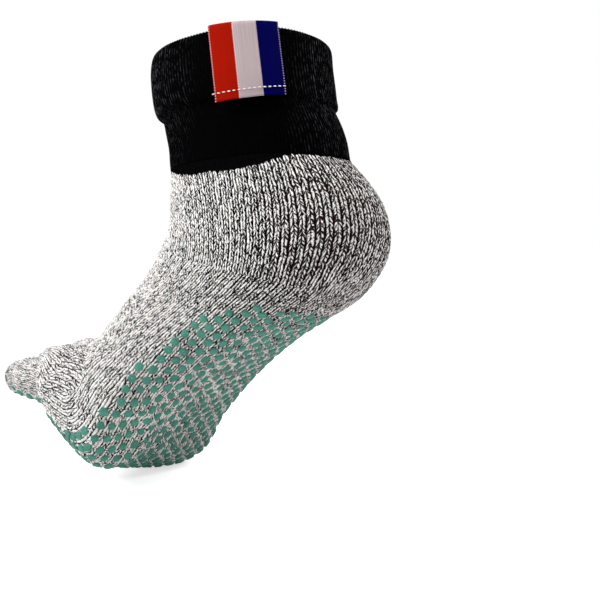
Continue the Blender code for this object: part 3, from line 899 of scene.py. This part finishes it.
def make_toes(material):
    """The five toe pockets, each a closed tube of its own wales, and the base surfaces that they have."""
    surfaces = []
    numbers = as_numbers(knit_sections())
    body, _ = body_rings(even_places(numbers, BODY_STEP), BODY_COLUMNS)
    body = body.reshape(-1, 3)
    for toe in TOE_ROWS:
        base = fine_toe(toe, TOE_WALES * WALE_STEPS, ROW_STEP)
        few = base[::COARSE, ::COARSE]
        flat = few.reshape(-1, 3)
        squares = np.sum(flat ** 2, axis=1)[:, None] + np.sum(body ** 2, axis=1) - 2 * flat @ body.T
        away = np.sqrt(np.maximum(squares, 0)).min(axis=1).reshape(few.shape[:2])
        push = spread_out(join_push(away, TOE_JOIN), *base.shape[:2])
        base = base + closed_round(base) * push[..., None]
        surfaces.append(base)
        net = loosened(base, tube_net(base, TOE_WALES))
        raised = placed(base + closed_round(base) * relief(base, net)[..., None])
        item = ring_mesh(f"{toe.name}_toe_knit", raised, net, net[:, 0] + [TOE_WALES, 0], "first last")
        dress(item, material, "marl_knit", "foot_knit")
    return surfaces


def make_cuff(material):
    """The ribbed cuff: its wall turned over the rim, with ribs that run up and over it."""
    numbers = as_numbers([wall_points(row) for row in WALL_ROWS])
    walked = walked_down(evenly_round(numbers, COARSE_CUFF))
    even = np.linspace(0, walked[-1], int(walked[-1] / CUFF_ROW))
    places = np.interp(even, walked, np.arange(len(numbers)))
    rings = evenly_round(through(numbers, places), RIBS * RIB_STEPS)
    column = np.arange(RIBS * RIB_STEPS)[None] / RIB_STEPS
    crumple = wandering(rings, CRUMPLE) + wandering(rings, SMALL_CRUMPLE)
    crumple *= np.interp(places, CRUMPLED_ROWS, CRUMPLED_SHARES)[:, None]
    rib = np.cos(column * 2 * math.pi) * RIB_RELIEF / 2
    shape = placed(rings + closed_wall(rings) * (rib + crumple)[..., None])
    shape = np.concatenate([shape, shape[:1]])
    along = column_lengths(shape) / MM
    net = np.stack([column + 0 * along, along], axis=-1)
    item = ring_mesh("ribbed_cuff", shape, net, net[:, 0] + [RIBS, 0])
    dress(item, material, "black_rib", "cuff")


def closed_wall(rings):
    """Outward unit normals of a wall that goes up outside and down inside."""
    normal = grid_normals(rings)
    middle = rings[:2].mean(axis=(0, 1))
    return normal * np.sign(np.sum(normal[1] * (rings[1] - middle)))


def girths(rings):
    """The way round each ring."""
    return np.linalg.norm(rings - np.roll(rings, 1, axis=1), axis=2).sum(axis=1)


def lengthwise(rings, row, column):
    """The direction along a grid at its points, over some rows to either side."""
    after = np.minimum(row + DOT_ROWS_ROUND, len(rings) - 1)
    return rings[after, column] - rings[np.maximum(row - DOT_ROWS_ROUND, 0), column]


def make_dots(material, rings, normals):
    """The grip dots on a staggered lattice round the line under the sole."""
    columns = rings.shape[1]
    walked = column_lengths(rings[:, columns // 2:columns // 2 + 1])[:, 0]
    draw = np.random.default_rng(DOT_SEED)
    spots = []
    for line in range(-DOT_LINES, DOT_LINES + 1):
        around = line * DOT_PITCH * math.sqrt(3) / 2
        along = DOT_START + DOT_PITCH * (0.5 if line % 2 else 0.0)
        while along < walked[-1] - DOT_MARGIN:
            if abs(around) < np.interp(along, *np.array(DOT_EDGE).T * MM):
                spots.append((along, around))
            along += DOT_PITCH
    spots = np.array(spots) + draw.normal(0, DOT_WANDER, (len(spots), 2))
    row = np.interp(spots[:, 0], walked, np.arange(len(walked))).astype(int)
    column = np.round(columns / 2 - spots[:, 1] / girths(rings)[row] * columns).astype(int) % columns
    place_dots("grip_dots", material, rings[row, column], normals[row, column],
               lengthwise(rings, row, column), draw)


def make_toe_dots(material, surfaces):
    """The grip dots under the toe pockets, on the sole's lattice, back from each pocket's tip."""
    places = []
    lines = np.repeat(np.arange(-TOE_DOT_LINES, TOE_DOT_LINES + 1), TOE_DOT_ROWS)
    back = np.tile(np.arange(TOE_DOT_ROWS), 2 * TOE_DOT_LINES + 1) + 0.5 * (lines % 2)
    around = lines * DOT_PITCH * math.sqrt(3) / 2
    for base in surfaces:
        columns = base.shape[1]
        under = columns * 3 // 4
        walked = column_lengths(base[:, under:under + 1])[:, 0]
        along = walked[-1] - TOE_DOT_TIP - back * DOT_PITCH
        row = np.interp(along, walked, np.arange(len(walked))).astype(int)
        column = np.round(under + around / girths(base)[row] * columns).astype(int) % columns
        places.append((base[row, column], closed_round(base)[row, column], lengthwise(base, row, column)))
    draw = np.random.default_rng(TOE_DOT_SEED)
    place_dots("toe_dots", material, *map(np.concatenate, zip(*places)), draw)


def place_dots(name, material, centre, outward, ahead, draw):
    """One mesh of low uneven cushions at points with given outward and forward directions.

    Each is a fan from its crown to rings of corners and a sunk base, on the tangent plane.  A corner's
    distance is the dot's radius times one, plus a six-lobed wave and a random share.
    """
    ahead = ahead - outward * np.sum(ahead * outward, axis=1, keepdims=True)
    ahead /= np.linalg.norm(ahead, axis=1, keepdims=True)
    side = np.cross(outward, ahead)
    count = len(centre)
    turns = np.arange(DOT_SIDES) * 2 * math.pi / DOT_SIDES
    size = DOT_RADIUS * draw.uniform(*DOT_SIZES, (count, 1))
    corner = draw.uniform(0, 2 * math.pi, (count, 1))
    lobes = DOT_LOBE * np.cos(6 * turns[None] + corner)
    rim = size * (1 + lobes + draw.normal(0, DOT_ROUGH, (count, DOT_SIDES)))
    top = DOT_STAND + DOT_HEIGHT * draw.uniform(*DOT_HEIGHTS, (count, 1))
    points = []
    for reach, height in DOT_RINGS:
        wide = rim * reach if reach else rim[:, :1] * 0
        angle = turns if reach else turns[:1]
        wobble = DOT_WOBBLE * draw.normal(size=wide.shape) if 0 < reach < 1 else 0
        lift = top * height + wobble if height > 0 else np.full_like(wide, height * DOT_HEIGHT)
        flat = np.cos(angle)[None, :, None] * ahead[:, None] + np.sin(angle)[None, :, None] * side[:, None]
        points.append(centre[:, None] + wide[..., None] * flat
                      + np.broadcast_to(lift, wide.shape)[..., None] * outward[:, None])
    points = np.concatenate(points, axis=1)
    here = 1 + np.arange(DOT_SIDES)
    after = 1 + np.arange(1, DOT_SIDES + 1) % DOT_SIDES
    faces = [np.stack([0 * here, here, after], axis=1)]
    for low in np.arange(3) * DOT_SIDES:
        high = low + DOT_SIDES
        pair = [low + here, high + here, high + after, low + here, high + after, low + after]
        faces.append(np.stack(pair, axis=1).reshape(-1, 3))
    faces = np.concatenate(faces)[None] + (np.arange(count) * points.shape[1])[:, None, None]
    dress(face_mesh(name, placed(points), faces.reshape(-1, 3).tolist()), material, "grip_dots")


class Graph:
    """Places shader nodes in one tree; a value or a socket may go into any input."""

    def __init__(self, tree):
        self.tree = tree

    def feed(self, node, inputs):
        """Links or sets a node's inputs, keyed by name or number."""
        for key, value in inputs.items():
            if isinstance(value, bpy.types.NodeSocket):
                self.tree.links.new(value, node.inputs[key])
            else:
                node.inputs[key].default_value = value

    def put(self, kind, inputs=None, **settings):
        """A node with its settings and inputs."""
        node = self.tree.nodes.new(kind)
        for key, value in settings.items():
            setattr(node, key, value)
        self.feed(node, inputs or {})
        return node

    def math(self, operation, *values, clamp=False):
        """The result of a Math node."""
        node = self.put("ShaderNodeMath", dict(enumerate(values)), operation=operation, use_clamp=clamp)
        return node.outputs[0]

    def times(self, *values):
        """The product of values."""
        result = values[0]
        for value in values[1:]:
            result = self.math("MULTIPLY", result, value)
        return result

    def scaled(self, value, factor, added):
        """A value times a factor, and something added."""
        return self.math("MULTIPLY_ADD", value, factor, added)

    def ramp(self, value, low, high, start=0.0, end=1.0):
        """A smooth step between two values."""
        node = self.put("ShaderNodeMapRange", {0: value, 1: low, 2: high, 3: start, 4: end},
                        interpolation_type="SMOOTHSTEP")
        return node.outputs[0]

    def mix(self, share, first, second):
        """A mix of two colours."""
        node = self.put("ShaderNodeMix", {0: share, 6: first, 7: second}, data_type="RGBA")
        return node.outputs[2]

    def vector(self, operation, first, second):
        """A Vector Math node."""
        return self.put("ShaderNodeVectorMath", {0: first, 1: second}, operation=operation)

    def joined(self, *values):
        """A vector from its numbers."""
        return self.put("ShaderNodeCombineXYZ", dict(enumerate(values))).outputs[0]

    def split(self, vector):
        """The numbers of a vector."""
        return self.put("ShaderNodeSeparateXYZ", {0: vector}).outputs

    def shaded(self, colour, shade):
        """A colour times a shade."""
        return self.vector("MULTIPLY", colour, self.joined(shade, shade, shade)).outputs[0]

    def noise(self, vector, scale, detail=2.0, roughness=0.5):
        """The value of a Noise Texture."""
        return self.put("ShaderNodeTexNoise", {"Vector": vector, "Scale": scale, "Detail": detail,
                                               "Roughness": roughness}).outputs[0]

    def place(self):
        """Object coordinates."""
        return self.put("ShaderNodeTexCoord").outputs["Object"]

    def net(self):
        """The piece's own UV map: wale and course numbers, or the share across and metres along."""
        return self.put("ShaderNodeUVMap", uv_map="Knit").outputs[0]

    def bump(self, strength, distance, height):
        """A normal from a height."""
        return self.put("ShaderNodeBump", {"Strength": strength, "Distance": distance,
                                           "Height": height}).outputs[0]

    def group(self, tree, inputs=None):
        """The outputs of a node group."""
        return self.put("ShaderNodeGroup", inputs, node_tree=tree).outputs


def new_group(name, inputs, outputs):
    """A shader node group with named sockets, its graph, and its input and output nodes."""
    tree = bpy.data.node_groups.new(name, "ShaderNodeTree")
    for label, kind, value in inputs:
        socket = tree.interface.new_socket(label, in_out="INPUT", socket_type=kind)
        if value is not None:
            socket.default_value = value
    for label, kind in outputs:
        tree.interface.new_socket(label, in_out="OUTPUT", socket_type=kind)
    graph = Graph(tree)
    return tree, graph, graph.put("NodeGroupInput"), graph.put("NodeGroupOutput")


def make_fibre_group():
    """Loose fibres: fine noise that lightens and roughens a yarn."""
    tree, graph, given, result = new_group(
        "Fibre fuzz", [("Scale", "NodeSocketFloat", 3000.0)],
        [("Shade", "NodeSocketFloat"), ("Height", "NodeSocketFloat")])
    fine = graph.noise(graph.place(), given.outputs["Scale"], 3.0, 0.65)
    graph.feed(result, {"Shade": graph.ramp(fine, 0.25, 0.75, 0.72, 1.12), "Height": fine})
    return tree


def make_stitch_group():
    """Plain knit in stitch units: each leg's place across and along, its random numbers and its plies."""
    tree, graph, given, result = new_group(
        "Knit legs", [("Slant", "NodeSocketFloat", STITCH_SLANT), ("Twists", "NodeSocketFloat", 1.1)],
        [(name, "NodeSocketFloat") for name in ("Inward", "Height", "Plies", "Pick", "Pick 2", "Course")])
    wale, course, _ = graph.split(graph.net())
    inward = graph.times(graph.math("PINGPONG", wale, 0.5), 2.0)
    down = graph.scaled(inward, given.outputs["Slant"], course)
    number = graph.math("FLOOR", down)
    part = graph.math("FRACT", down)
    across = graph.math("DIVIDE", graph.math("SUBTRACT", inward, LEG_MIDDLE), LEG_HALF)
    across = graph.math("POWER", across, 2.0)
    round_leg = graph.math("SQRT", graph.math("SUBTRACT", 1.0, across, clamp=True))
    round_end = graph.math("POWER", graph.math("SINE", graph.times(part, math.pi)), END_POWER)
    height = graph.times(round_leg, graph.scaled(round_end, END_DIP, 1 - END_DIP))
    cell = graph.joined(graph.math("FLOOR", graph.times(wale, 2.0)), number)
    pick = graph.put("ShaderNodeTexWhiteNoise", {0: cell}, noise_dimensions="2D")
    colours = graph.put("ShaderNodeSeparateColor", {0: pick.outputs[1]}).outputs
    turn = graph.math("ADD", graph.times(part, given.outputs["Twists"]),
                      graph.scaled(inward, 0.9, colours[0]))
    plies = graph.math("SINE", graph.times(turn, 2 * math.pi))
    graph.feed(result, {"Inward": inward, "Height": height, "Plies": plies, "Pick": colours[1],
                        "Pick 2": colours[2], "Course": number})
    return tree


def new_material(name):
    """An empty material with its graph and its Principled BSDF."""
    material = bpy.data.materials.new(name)
    material.use_nodes = True
    graph = Graph(material.node_tree)
    return material, graph, material.node_tree.nodes["Principled BSDF"]


def make_marl(stitches, fibres):
    """Grey marl: white and black plies twisted, with black core and painted shade between the wales.

    Black shows at the wales' edges and at some of their middles, the gaps between the legs, as black
    core and painted shade, and where a dark ply crosses a leg.  Painted shade also darkens the stitches
    where they are low.  The heel's stretched knit shows more of the black, and the rows next to the cuff
    are all black.
    """
    material, graph, shader = new_material("Marl knit")
    knit = graph.group(stitches)
    fuzz = graph.group(fibres, {"Scale": 2600.0})
    place = graph.place()
    forward = graph.split(place)[0]
    heel = graph.ramp(forward, *HEEL_OPEN, 1.0, 0.0)
    cloud = graph.noise(place, 70.0)
    speck = graph.noise(place, 1100.0, 2.0, 0.6)
    tangle = graph.noise(place, 620.0, 2.0, 0.6)
    # The wales' edges and middles, the gaps between the legs, are dark: black core and painted shade
    edge = graph.math("ADD", knit["Inward"], graph.scaled(tangle, 1.0, -0.5))
    side_core_and_shade = graph.ramp(graph.math("SUBTRACT", edge, graph.scaled(heel, 0.14, 0.05)), 0.0, 0.22)
    high = graph.scaled(heel, -0.12, 1.04)
    middle = graph.ramp(graph.math("SUBTRACT", edge, high), -0.22, 0.0, 1.0, 0.05)
    lean = graph.scaled(knit["Pick"], 1.5, graph.scaled(heel, -0.40, -0.30))
    mixed = graph.math("ADD", graph.scaled(knit["Plies"], 0.9, lean), graph.scaled(cloud, 0.9, -0.40))
    mixed = graph.math("ADD", mixed, graph.scaled(speck, 4.5, -2.25))
    white = graph.times(graph.ramp(mixed, -0.20, 0.08), graph.times(side_core_and_shade, middle))
    dark = graph.mix(graph.ramp(forward, *HEEL_BROWN, 1.0, 0.0), DARK_CORE, HEEL_CORE)
    dark = graph.mix(graph.ramp(forward, *TOES_PALE), dark, TOE_CORE)
    colour = graph.mix(white, dark, graph.mix(knit["Pick 2"], WARM_PLY, COOL_PLY))
    # Painted shade: the colour darkens where the stitches are low, at their dipping ends and in the gaps
    shade = graph.times(graph.ramp(knit["Height"], 0.1, 0.75, 0.45, 1.0), fuzz["Shade"])
    black = graph.math("LESS_THAN", knit["Course"], -0.5)
    colour = graph.mix(black, graph.shaded(colour, shade), BLACK_ROW)
    height = graph.math("ADD", knit["Height"], graph.times(fuzz["Height"], 0.4))
    graph.feed(shader, {"Base Color": colour, "Normal": graph.bump(0.8, 0.5 * MM, height),
                        "Roughness": 0.95, "Specular IOR Level": 0.012})
    return material


def make_black_rib(fibres):
    """Black elastic rib: fine loops down each rib, and painted sheen in grey streaks on the crests."""
    material, graph, shader = new_material("Black rib")
    fuzz = graph.group(fibres, {"Scale": 3200.0})
    net = graph.net()
    place = graph.place()
    number, along, _ = graph.split(net)
    rib = graph.math("PINGPONG", graph.math("ADD", number, 0.5), 0.5)
    loops = graph.math("SINE", graph.scaled(rib, 3.0, graph.times(along, 4.2)))
    streak = graph.noise(graph.vector("MULTIPLY", net, (1.0, 0.15, 1.0)).outputs[0], 1.9, 3.0, 0.7)
    # Painted sheen: grey streaks on the rib crests, lighter up the cuff and towards its sides
    light = graph.times(graph.ramp(streak, 0.44, 0.70), graph.ramp(rib, 0.3, 0.5))
    light = graph.times(light, graph.times(graph.noise(place, 60.0), fuzz["Shade"]))
    light = graph.times(light, graph.ramp(graph.split(place)[2], *CUFF_SHEEN, 0.3, 1.0))
    from_tab = graph.math("ABSOLUTE", graph.vector("DOT_PRODUCT", place, ACROSS_TAB).outputs[1])
    light = graph.times(light, graph.ramp(from_tab, *SIDES_SHEEN, 0.03, 1.0))
    height = graph.math("ADD", graph.times(rib, 2.0), graph.times(loops, 0.12))
    height = graph.math("ADD", height, graph.times(fuzz["Height"], 0.4))
    graph.feed(shader, {"Base Color": graph.mix(light, RIB_BLACK, RIB_SHEEN), "Roughness": 0.9,
                        "Normal": graph.bump(0.6, 0.3 * MM, height), "Specular IOR Level": 0.012})
    return material


def make_grip_green():
    """Matte green rubber, a little uneven where the yarn pressed into it."""
    material, graph, shader = new_material("Grip green")
    place = graph.place()
    cloud = graph.noise(place, 160.0)
    grain = graph.noise(place, 1500.0, 3.0, 0.6)
    colour = graph.mix(graph.ramp(cloud, 0.3, 0.7), GREEN_DEEP, GREEN_MIDDLE)
    colour = graph.mix(graph.ramp(grain, 0.56, 0.74), colour, GREEN_DUSTY)
    graph.feed(shader, {"Base Color": colour, "Normal": graph.bump(0.35, 0.3 * MM, grain),
                        "Roughness": graph.ramp(cloud, 0.2, 0.8, 0.48, 0.66), "Specular IOR Level": 0.4})
    return material


def make_ribbon_satin():
    """Satin ribbon: red, pale and blue stripes along it, with a woven pale thread at the borders."""
    material, graph, shader = new_material("Striped ribbon")
    across, along, _ = graph.split(graph.net())
    warp = graph.joined(graph.times(across, 190.0), graph.times(along, 4.0))
    threads = graph.noise(warp, 1.0, 3.0, 0.7)
    twill = graph.math("SINE", graph.scaled(across, 560.0, graph.times(along, 620.0)))
    edge = graph.scaled(graph.noise(graph.place(), 2500.0), 0.012, across)
    colour = graph.mix(graph.ramp(edge, RIBBON_RED - 0.004, RIBBON_RED + 0.004), SATIN_RED, SATIN_PALE)
    colour = graph.mix(graph.ramp(edge, RIBBON_PALE - 0.004, RIBBON_PALE + 0.004), colour, SATIN_BLUE)
    shade = graph.times(graph.ramp(threads, 0.25, 0.75, 0.62, 1.26), graph.scaled(twill, 0.10, 1.0))
    rim = graph.math("MINIMUM", across, graph.math("SUBTRACT", 1.0, across))
    border = graph.math("ABSOLUTE", graph.math("SUBTRACT", across, RIBBON_RED))
    near = graph.math("MAXIMUM", graph.math("LESS_THAN", rim, 0.016),
                      graph.math("LESS_THAN", border, 0.009))
    dashes = graph.math("GREATER_THAN", graph.math("SINE", graph.times(along, 5200.0)), 0.3)
    colour = graph.mix(graph.times(near, dashes, 0.55), graph.shaded(colour, shade), SELVEDGE)
    graph.feed(shader, {"Base Color": colour, "Roughness": 0.6, "Specular IOR Level": 0.012,
                        "Normal": graph.bump(0.5, 0.15 * MM, graph.scaled(twill, 0.3, threads))})
    return material


def make_thread_white():
    """White sewing thread with a slight twist in its shade."""
    material, graph, shader = new_material("White thread")
    colour = graph.mix(graph.noise(graph.place(), 3000.0), THREAD_SHADED, THREAD_WHITE)
    graph.feed(shader, {"Base Color": colour, "Roughness": 0.7})
    return material


def make_floor_white():
    """A white studio floor that the camera sees a little brighter than it lights its surroundings."""
    material, graph, shader = new_material("Studio floor")
    seen = graph.put("ShaderNodeLightPath").outputs["Is Camera Ray"]
    graph.feed(shader, {"Base Color": graph.mix(graph.noise(graph.place(), 3.0), FLOOR_SHADED, FLOOR_WHITE),
                        "Emission Strength": graph.times(seen, FLOOR_LIFT),
                        "Emission Color": (1, 1, 1, 1), "Roughness": 0.9, "Specular IOR Level": 0.1})
    return material


def make_world():
    """White all round, plain white to the camera and softer as light."""
    world = bpy.data.worlds.new("studio")
    bpy.context.scene.world = world
    world.use_nodes = True
    graph = Graph(world.node_tree)
    seen = graph.put("ShaderNodeLightPath").outputs["Is Camera Ray"]
    graph.feed(world.node_tree.nodes["Background"],
               {0: (1, 1, 1, 1), 1: graph.scaled(seen, 1.0 - SKY_LIGHT, SKY_LIGHT)})


def wall_numbers(shares, distances, straight):
    """The cuff's sections at shares of its height and distances out."""
    return as_numbers([cuff_section(*row) for row in zip(shares, distances, straight)])


def turn_rate(numbers):
    """The way round each section for a radian of its angle, at the tab's middle."""
    ends = section_points(numbers, np.array([[TAB_CENTRE - TURN_STEP, TAB_CENTRE + TURN_STEP]]))
    return np.linalg.norm(ends[:, 1] - ends[:, 0], axis=1) / (2 * TURN_STEP)


def leaf_rings(path):
    """Points across the ribbon at each step along a path of height shares and distances out.

    The outer leaf hangs straight from the rim, and its end rises by TAB_SKEW of the distance across.
    """
    shares, distances = path.T
    outside = distances > -WELT_WALL / 2
    rate = turn_rate(wall_numbers(shares, distances, outside))
    hang = outside * np.clip((1 - shares) * CUFF_HEIGHT / TAB_DROP, 0, 1)
    columns = []
    for place in np.linspace(-TAB_WIDTH / 2, TAB_WIDTH / 2, RIBBON_COLUMNS + 1):
        numbers = wall_numbers(shares + TAB_SKEW * place * hang / CUFF_HEIGHT, distances, outside)
        columns.append(section_points(numbers, (TAB_CENTRE + place / rate)[:, None])[:, 0])
    return np.stack(columns, axis=1)


def make_ribbon(material):
    """The ribbon as a sheet along its path, given its thickness by a Solidify modifier."""
    grid = leaf_rings(ribbon_path())
    walked = walked_down(grid.mean(axis=1)[:, None])
    item = sheet_mesh("ribbon_tab", placed(grid), walked)
    return dress(item, material, "striped_ribbon", "pull_tab"), walked[-1]


def ribbon_path():
    """The ribbon's line: tab_path() finer, with a slight ripple down the outer leaf."""
    points = tab_path()
    fine = through(points, np.linspace(0, len(points) - 1, RIBBON_ROWS))
    ripple = RIBBON_RIPPLE * np.sin(np.linspace(0, RIPPLE_TURNS, RIBBON_ROWS))
    fine[:, 1] += np.where(np.linspace(0, 1, RIBBON_ROWS) < RIPPLED_SHARE, ripple, 0)
    return fine


def sheet_mesh(name, grid, walked):
    """An open sheet over a grid of points with a UV map of the share across and metres along."""
    count, across, _ = grid.shape
    here = (np.arange(count - 1)[:, None] * across + np.arange(across - 1)[None]).ravel()
    faces = np.stack([here, here + 1, here + across + 1, here + across], axis=1)
    item = face_mesh(name, grid, faces.tolist())
    net = np.stack([np.tile(np.linspace(0, 1, across), count), np.repeat(walked, across)], axis=1)
    layer = item.data.uv_layers.new(name="Knit")
    layer.data.foreach_set("uv", net[faces.ravel()].astype(np.float32).ravel())
    thick = item.modifiers.new("thickness", "SOLIDIFY")
    thick.thickness = RIBBON_WALL
    thick.offset = 1.0
    return item


def tube(path, radius, sides):
    """Rings of a tube along a path of points, tapered to a small ring at both ends."""
    ahead = np.gradient(path, axis=0)
    ahead /= np.linalg.norm(ahead, axis=1, keepdims=True)
    across = np.cross(ahead, OFF_STITCH)
    across /= np.linalg.norm(across, axis=1, keepdims=True)
    up = np.cross(across, ahead)
    turns = np.arange(sides) * 2 * math.pi / sides
    taper = radius * np.sqrt(np.clip(1 - np.linspace(-1, 1, len(path)) ** 4, 0.04, 1))
    return path[:, None] + taper[:, None, None] * (np.cos(turns)[None, :, None] * across[:, None]
                                                   + np.sin(turns)[None, :, None] * up[:, None])


def make_stitches(material):
    """The row of running stitches that holds the ribbon's end: short tubes that dip at both ends."""
    bow = TAB_BOW * math.sin(math.pi * (STITCH_UP - TAB_END) / (TAB_TOP - TAB_END))
    rise = STITCH_RISE * np.cos(np.linspace(-math.pi / 2, math.pi / 2, STITCH_RINGS)) + STITCH_LIFT
    distances = TAB_GAP + RIBBON_WALL + rise + bow
    size = STITCH_RINGS * THREAD_SIDES
    points = []
    faces = []
    for number, place in enumerate(np.linspace(*STITCH_ROW, RIBBON_STITCHES) * TAB_WIDTH):
        across = place + np.linspace(-0.5, 0.5, STITCH_RINGS) * STITCH_LENGTH
        share = STITCH_UP + TAB_SKEW * place / CUFF_HEIGHT
        numbers = wall_numbers([share] * STITCH_RINGS, distances, [True] * STITCH_RINGS)
        turns = TAB_CENTRE + across / turn_rate(numbers[:1])
        line = placed(section_points(numbers, turns[:, None])[:, 0])
        points.append(tube(line, THREAD_RADIUS, THREAD_SIDES).reshape(-1, 3))
        corners = np.arange(size) + number * size
        faces += (grid_faces(STITCH_RINGS, THREAD_SIDES) + number * size).tolist()
        faces += [corners[:THREAD_SIDES].tolist(), corners[-THREAD_SIDES:][::-1].tolist()]
    return dress(face_mesh("ribbon_stitches", np.concatenate(points), faces), material, "striped_ribbon")


def make_floor(material, level):
    """A wide flat floor under the ball of the foot."""
    turns = np.arange(FLOOR_SIDES) * 2 * math.pi / FLOOR_SIDES
    rings = np.stack([np.outer(FLOOR_REACH, np.cos(turns)), np.outer(FLOOR_REACH, np.sin(turns)),
                      np.full((len(FLOOR_REACH), FLOOR_SIDES), level)], axis=-1)
    item = ring_mesh("floor", rings, ends="first")
    item.data.materials.append(material)
    item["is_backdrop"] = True


def make_light(row):
    """A square soft light at a spot, turned to what it lights."""
    light = bpy.data.lights.new(row.name, "AREA")
    light.size = row.size
    light.energy = row.power
    item = bpy.data.objects.new(row.name, light)
    item.location = row.spot
    item.rotation_euler = (Vector(row.aim) - Vector(row.spot)).to_track_quat("-Z", "Y").to_euler()
    bpy.context.scene.collection.objects.link(item)


def make_camera():
    """The camera of the photograph: level with the ankle, behind and on the little toe's side."""
    data = bpy.data.cameras.new("camera")
    data.sensor_width = SENSOR
    data.lens = LENS
    item = bpy.data.objects.new("camera", data)
    heading = math.radians(CAMERA_HEADING)
    pitch = math.radians(CAMERA_PITCH)
    look = Vector((math.sin(heading) * math.cos(pitch), -math.cos(heading) * math.cos(pitch),
                   -math.sin(pitch)))
    item.location = CAMERA_SPOT - rim_centre()
    item.rotation_euler = look.to_track_quat("-Z", "Y").to_euler()
    bpy.context.scene.collection.objects.link(item)
    bpy.context.scene.camera = item


def main():
    """Makes the pieces, the studio and the camera."""
    fibres = make_fibre_group()
    marl = make_marl(make_stitch_group(), fibres)
    rings, normals = make_knit(marl)
    make_lining(marl)
    toes = make_toes(marl)
    green = make_grip_green()
    make_dots(green, rings, normals)
    make_toe_dots(green, toes)
    make_cuff(make_black_rib(fibres))
    ribbon, length = make_ribbon(make_ribbon_satin())
    stitches = make_stitches(make_thread_white())
    lowest = min(corner[2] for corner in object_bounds())
    make_floor(make_floor_white(), lowest)
    make_world()
    for row in LIGHTS:
        make_light(row)
    make_camera()
    bpy.context.scene.view_settings.view_transform = "Standard"
    bpy.context.scene.view_settings.look = "None"


main()
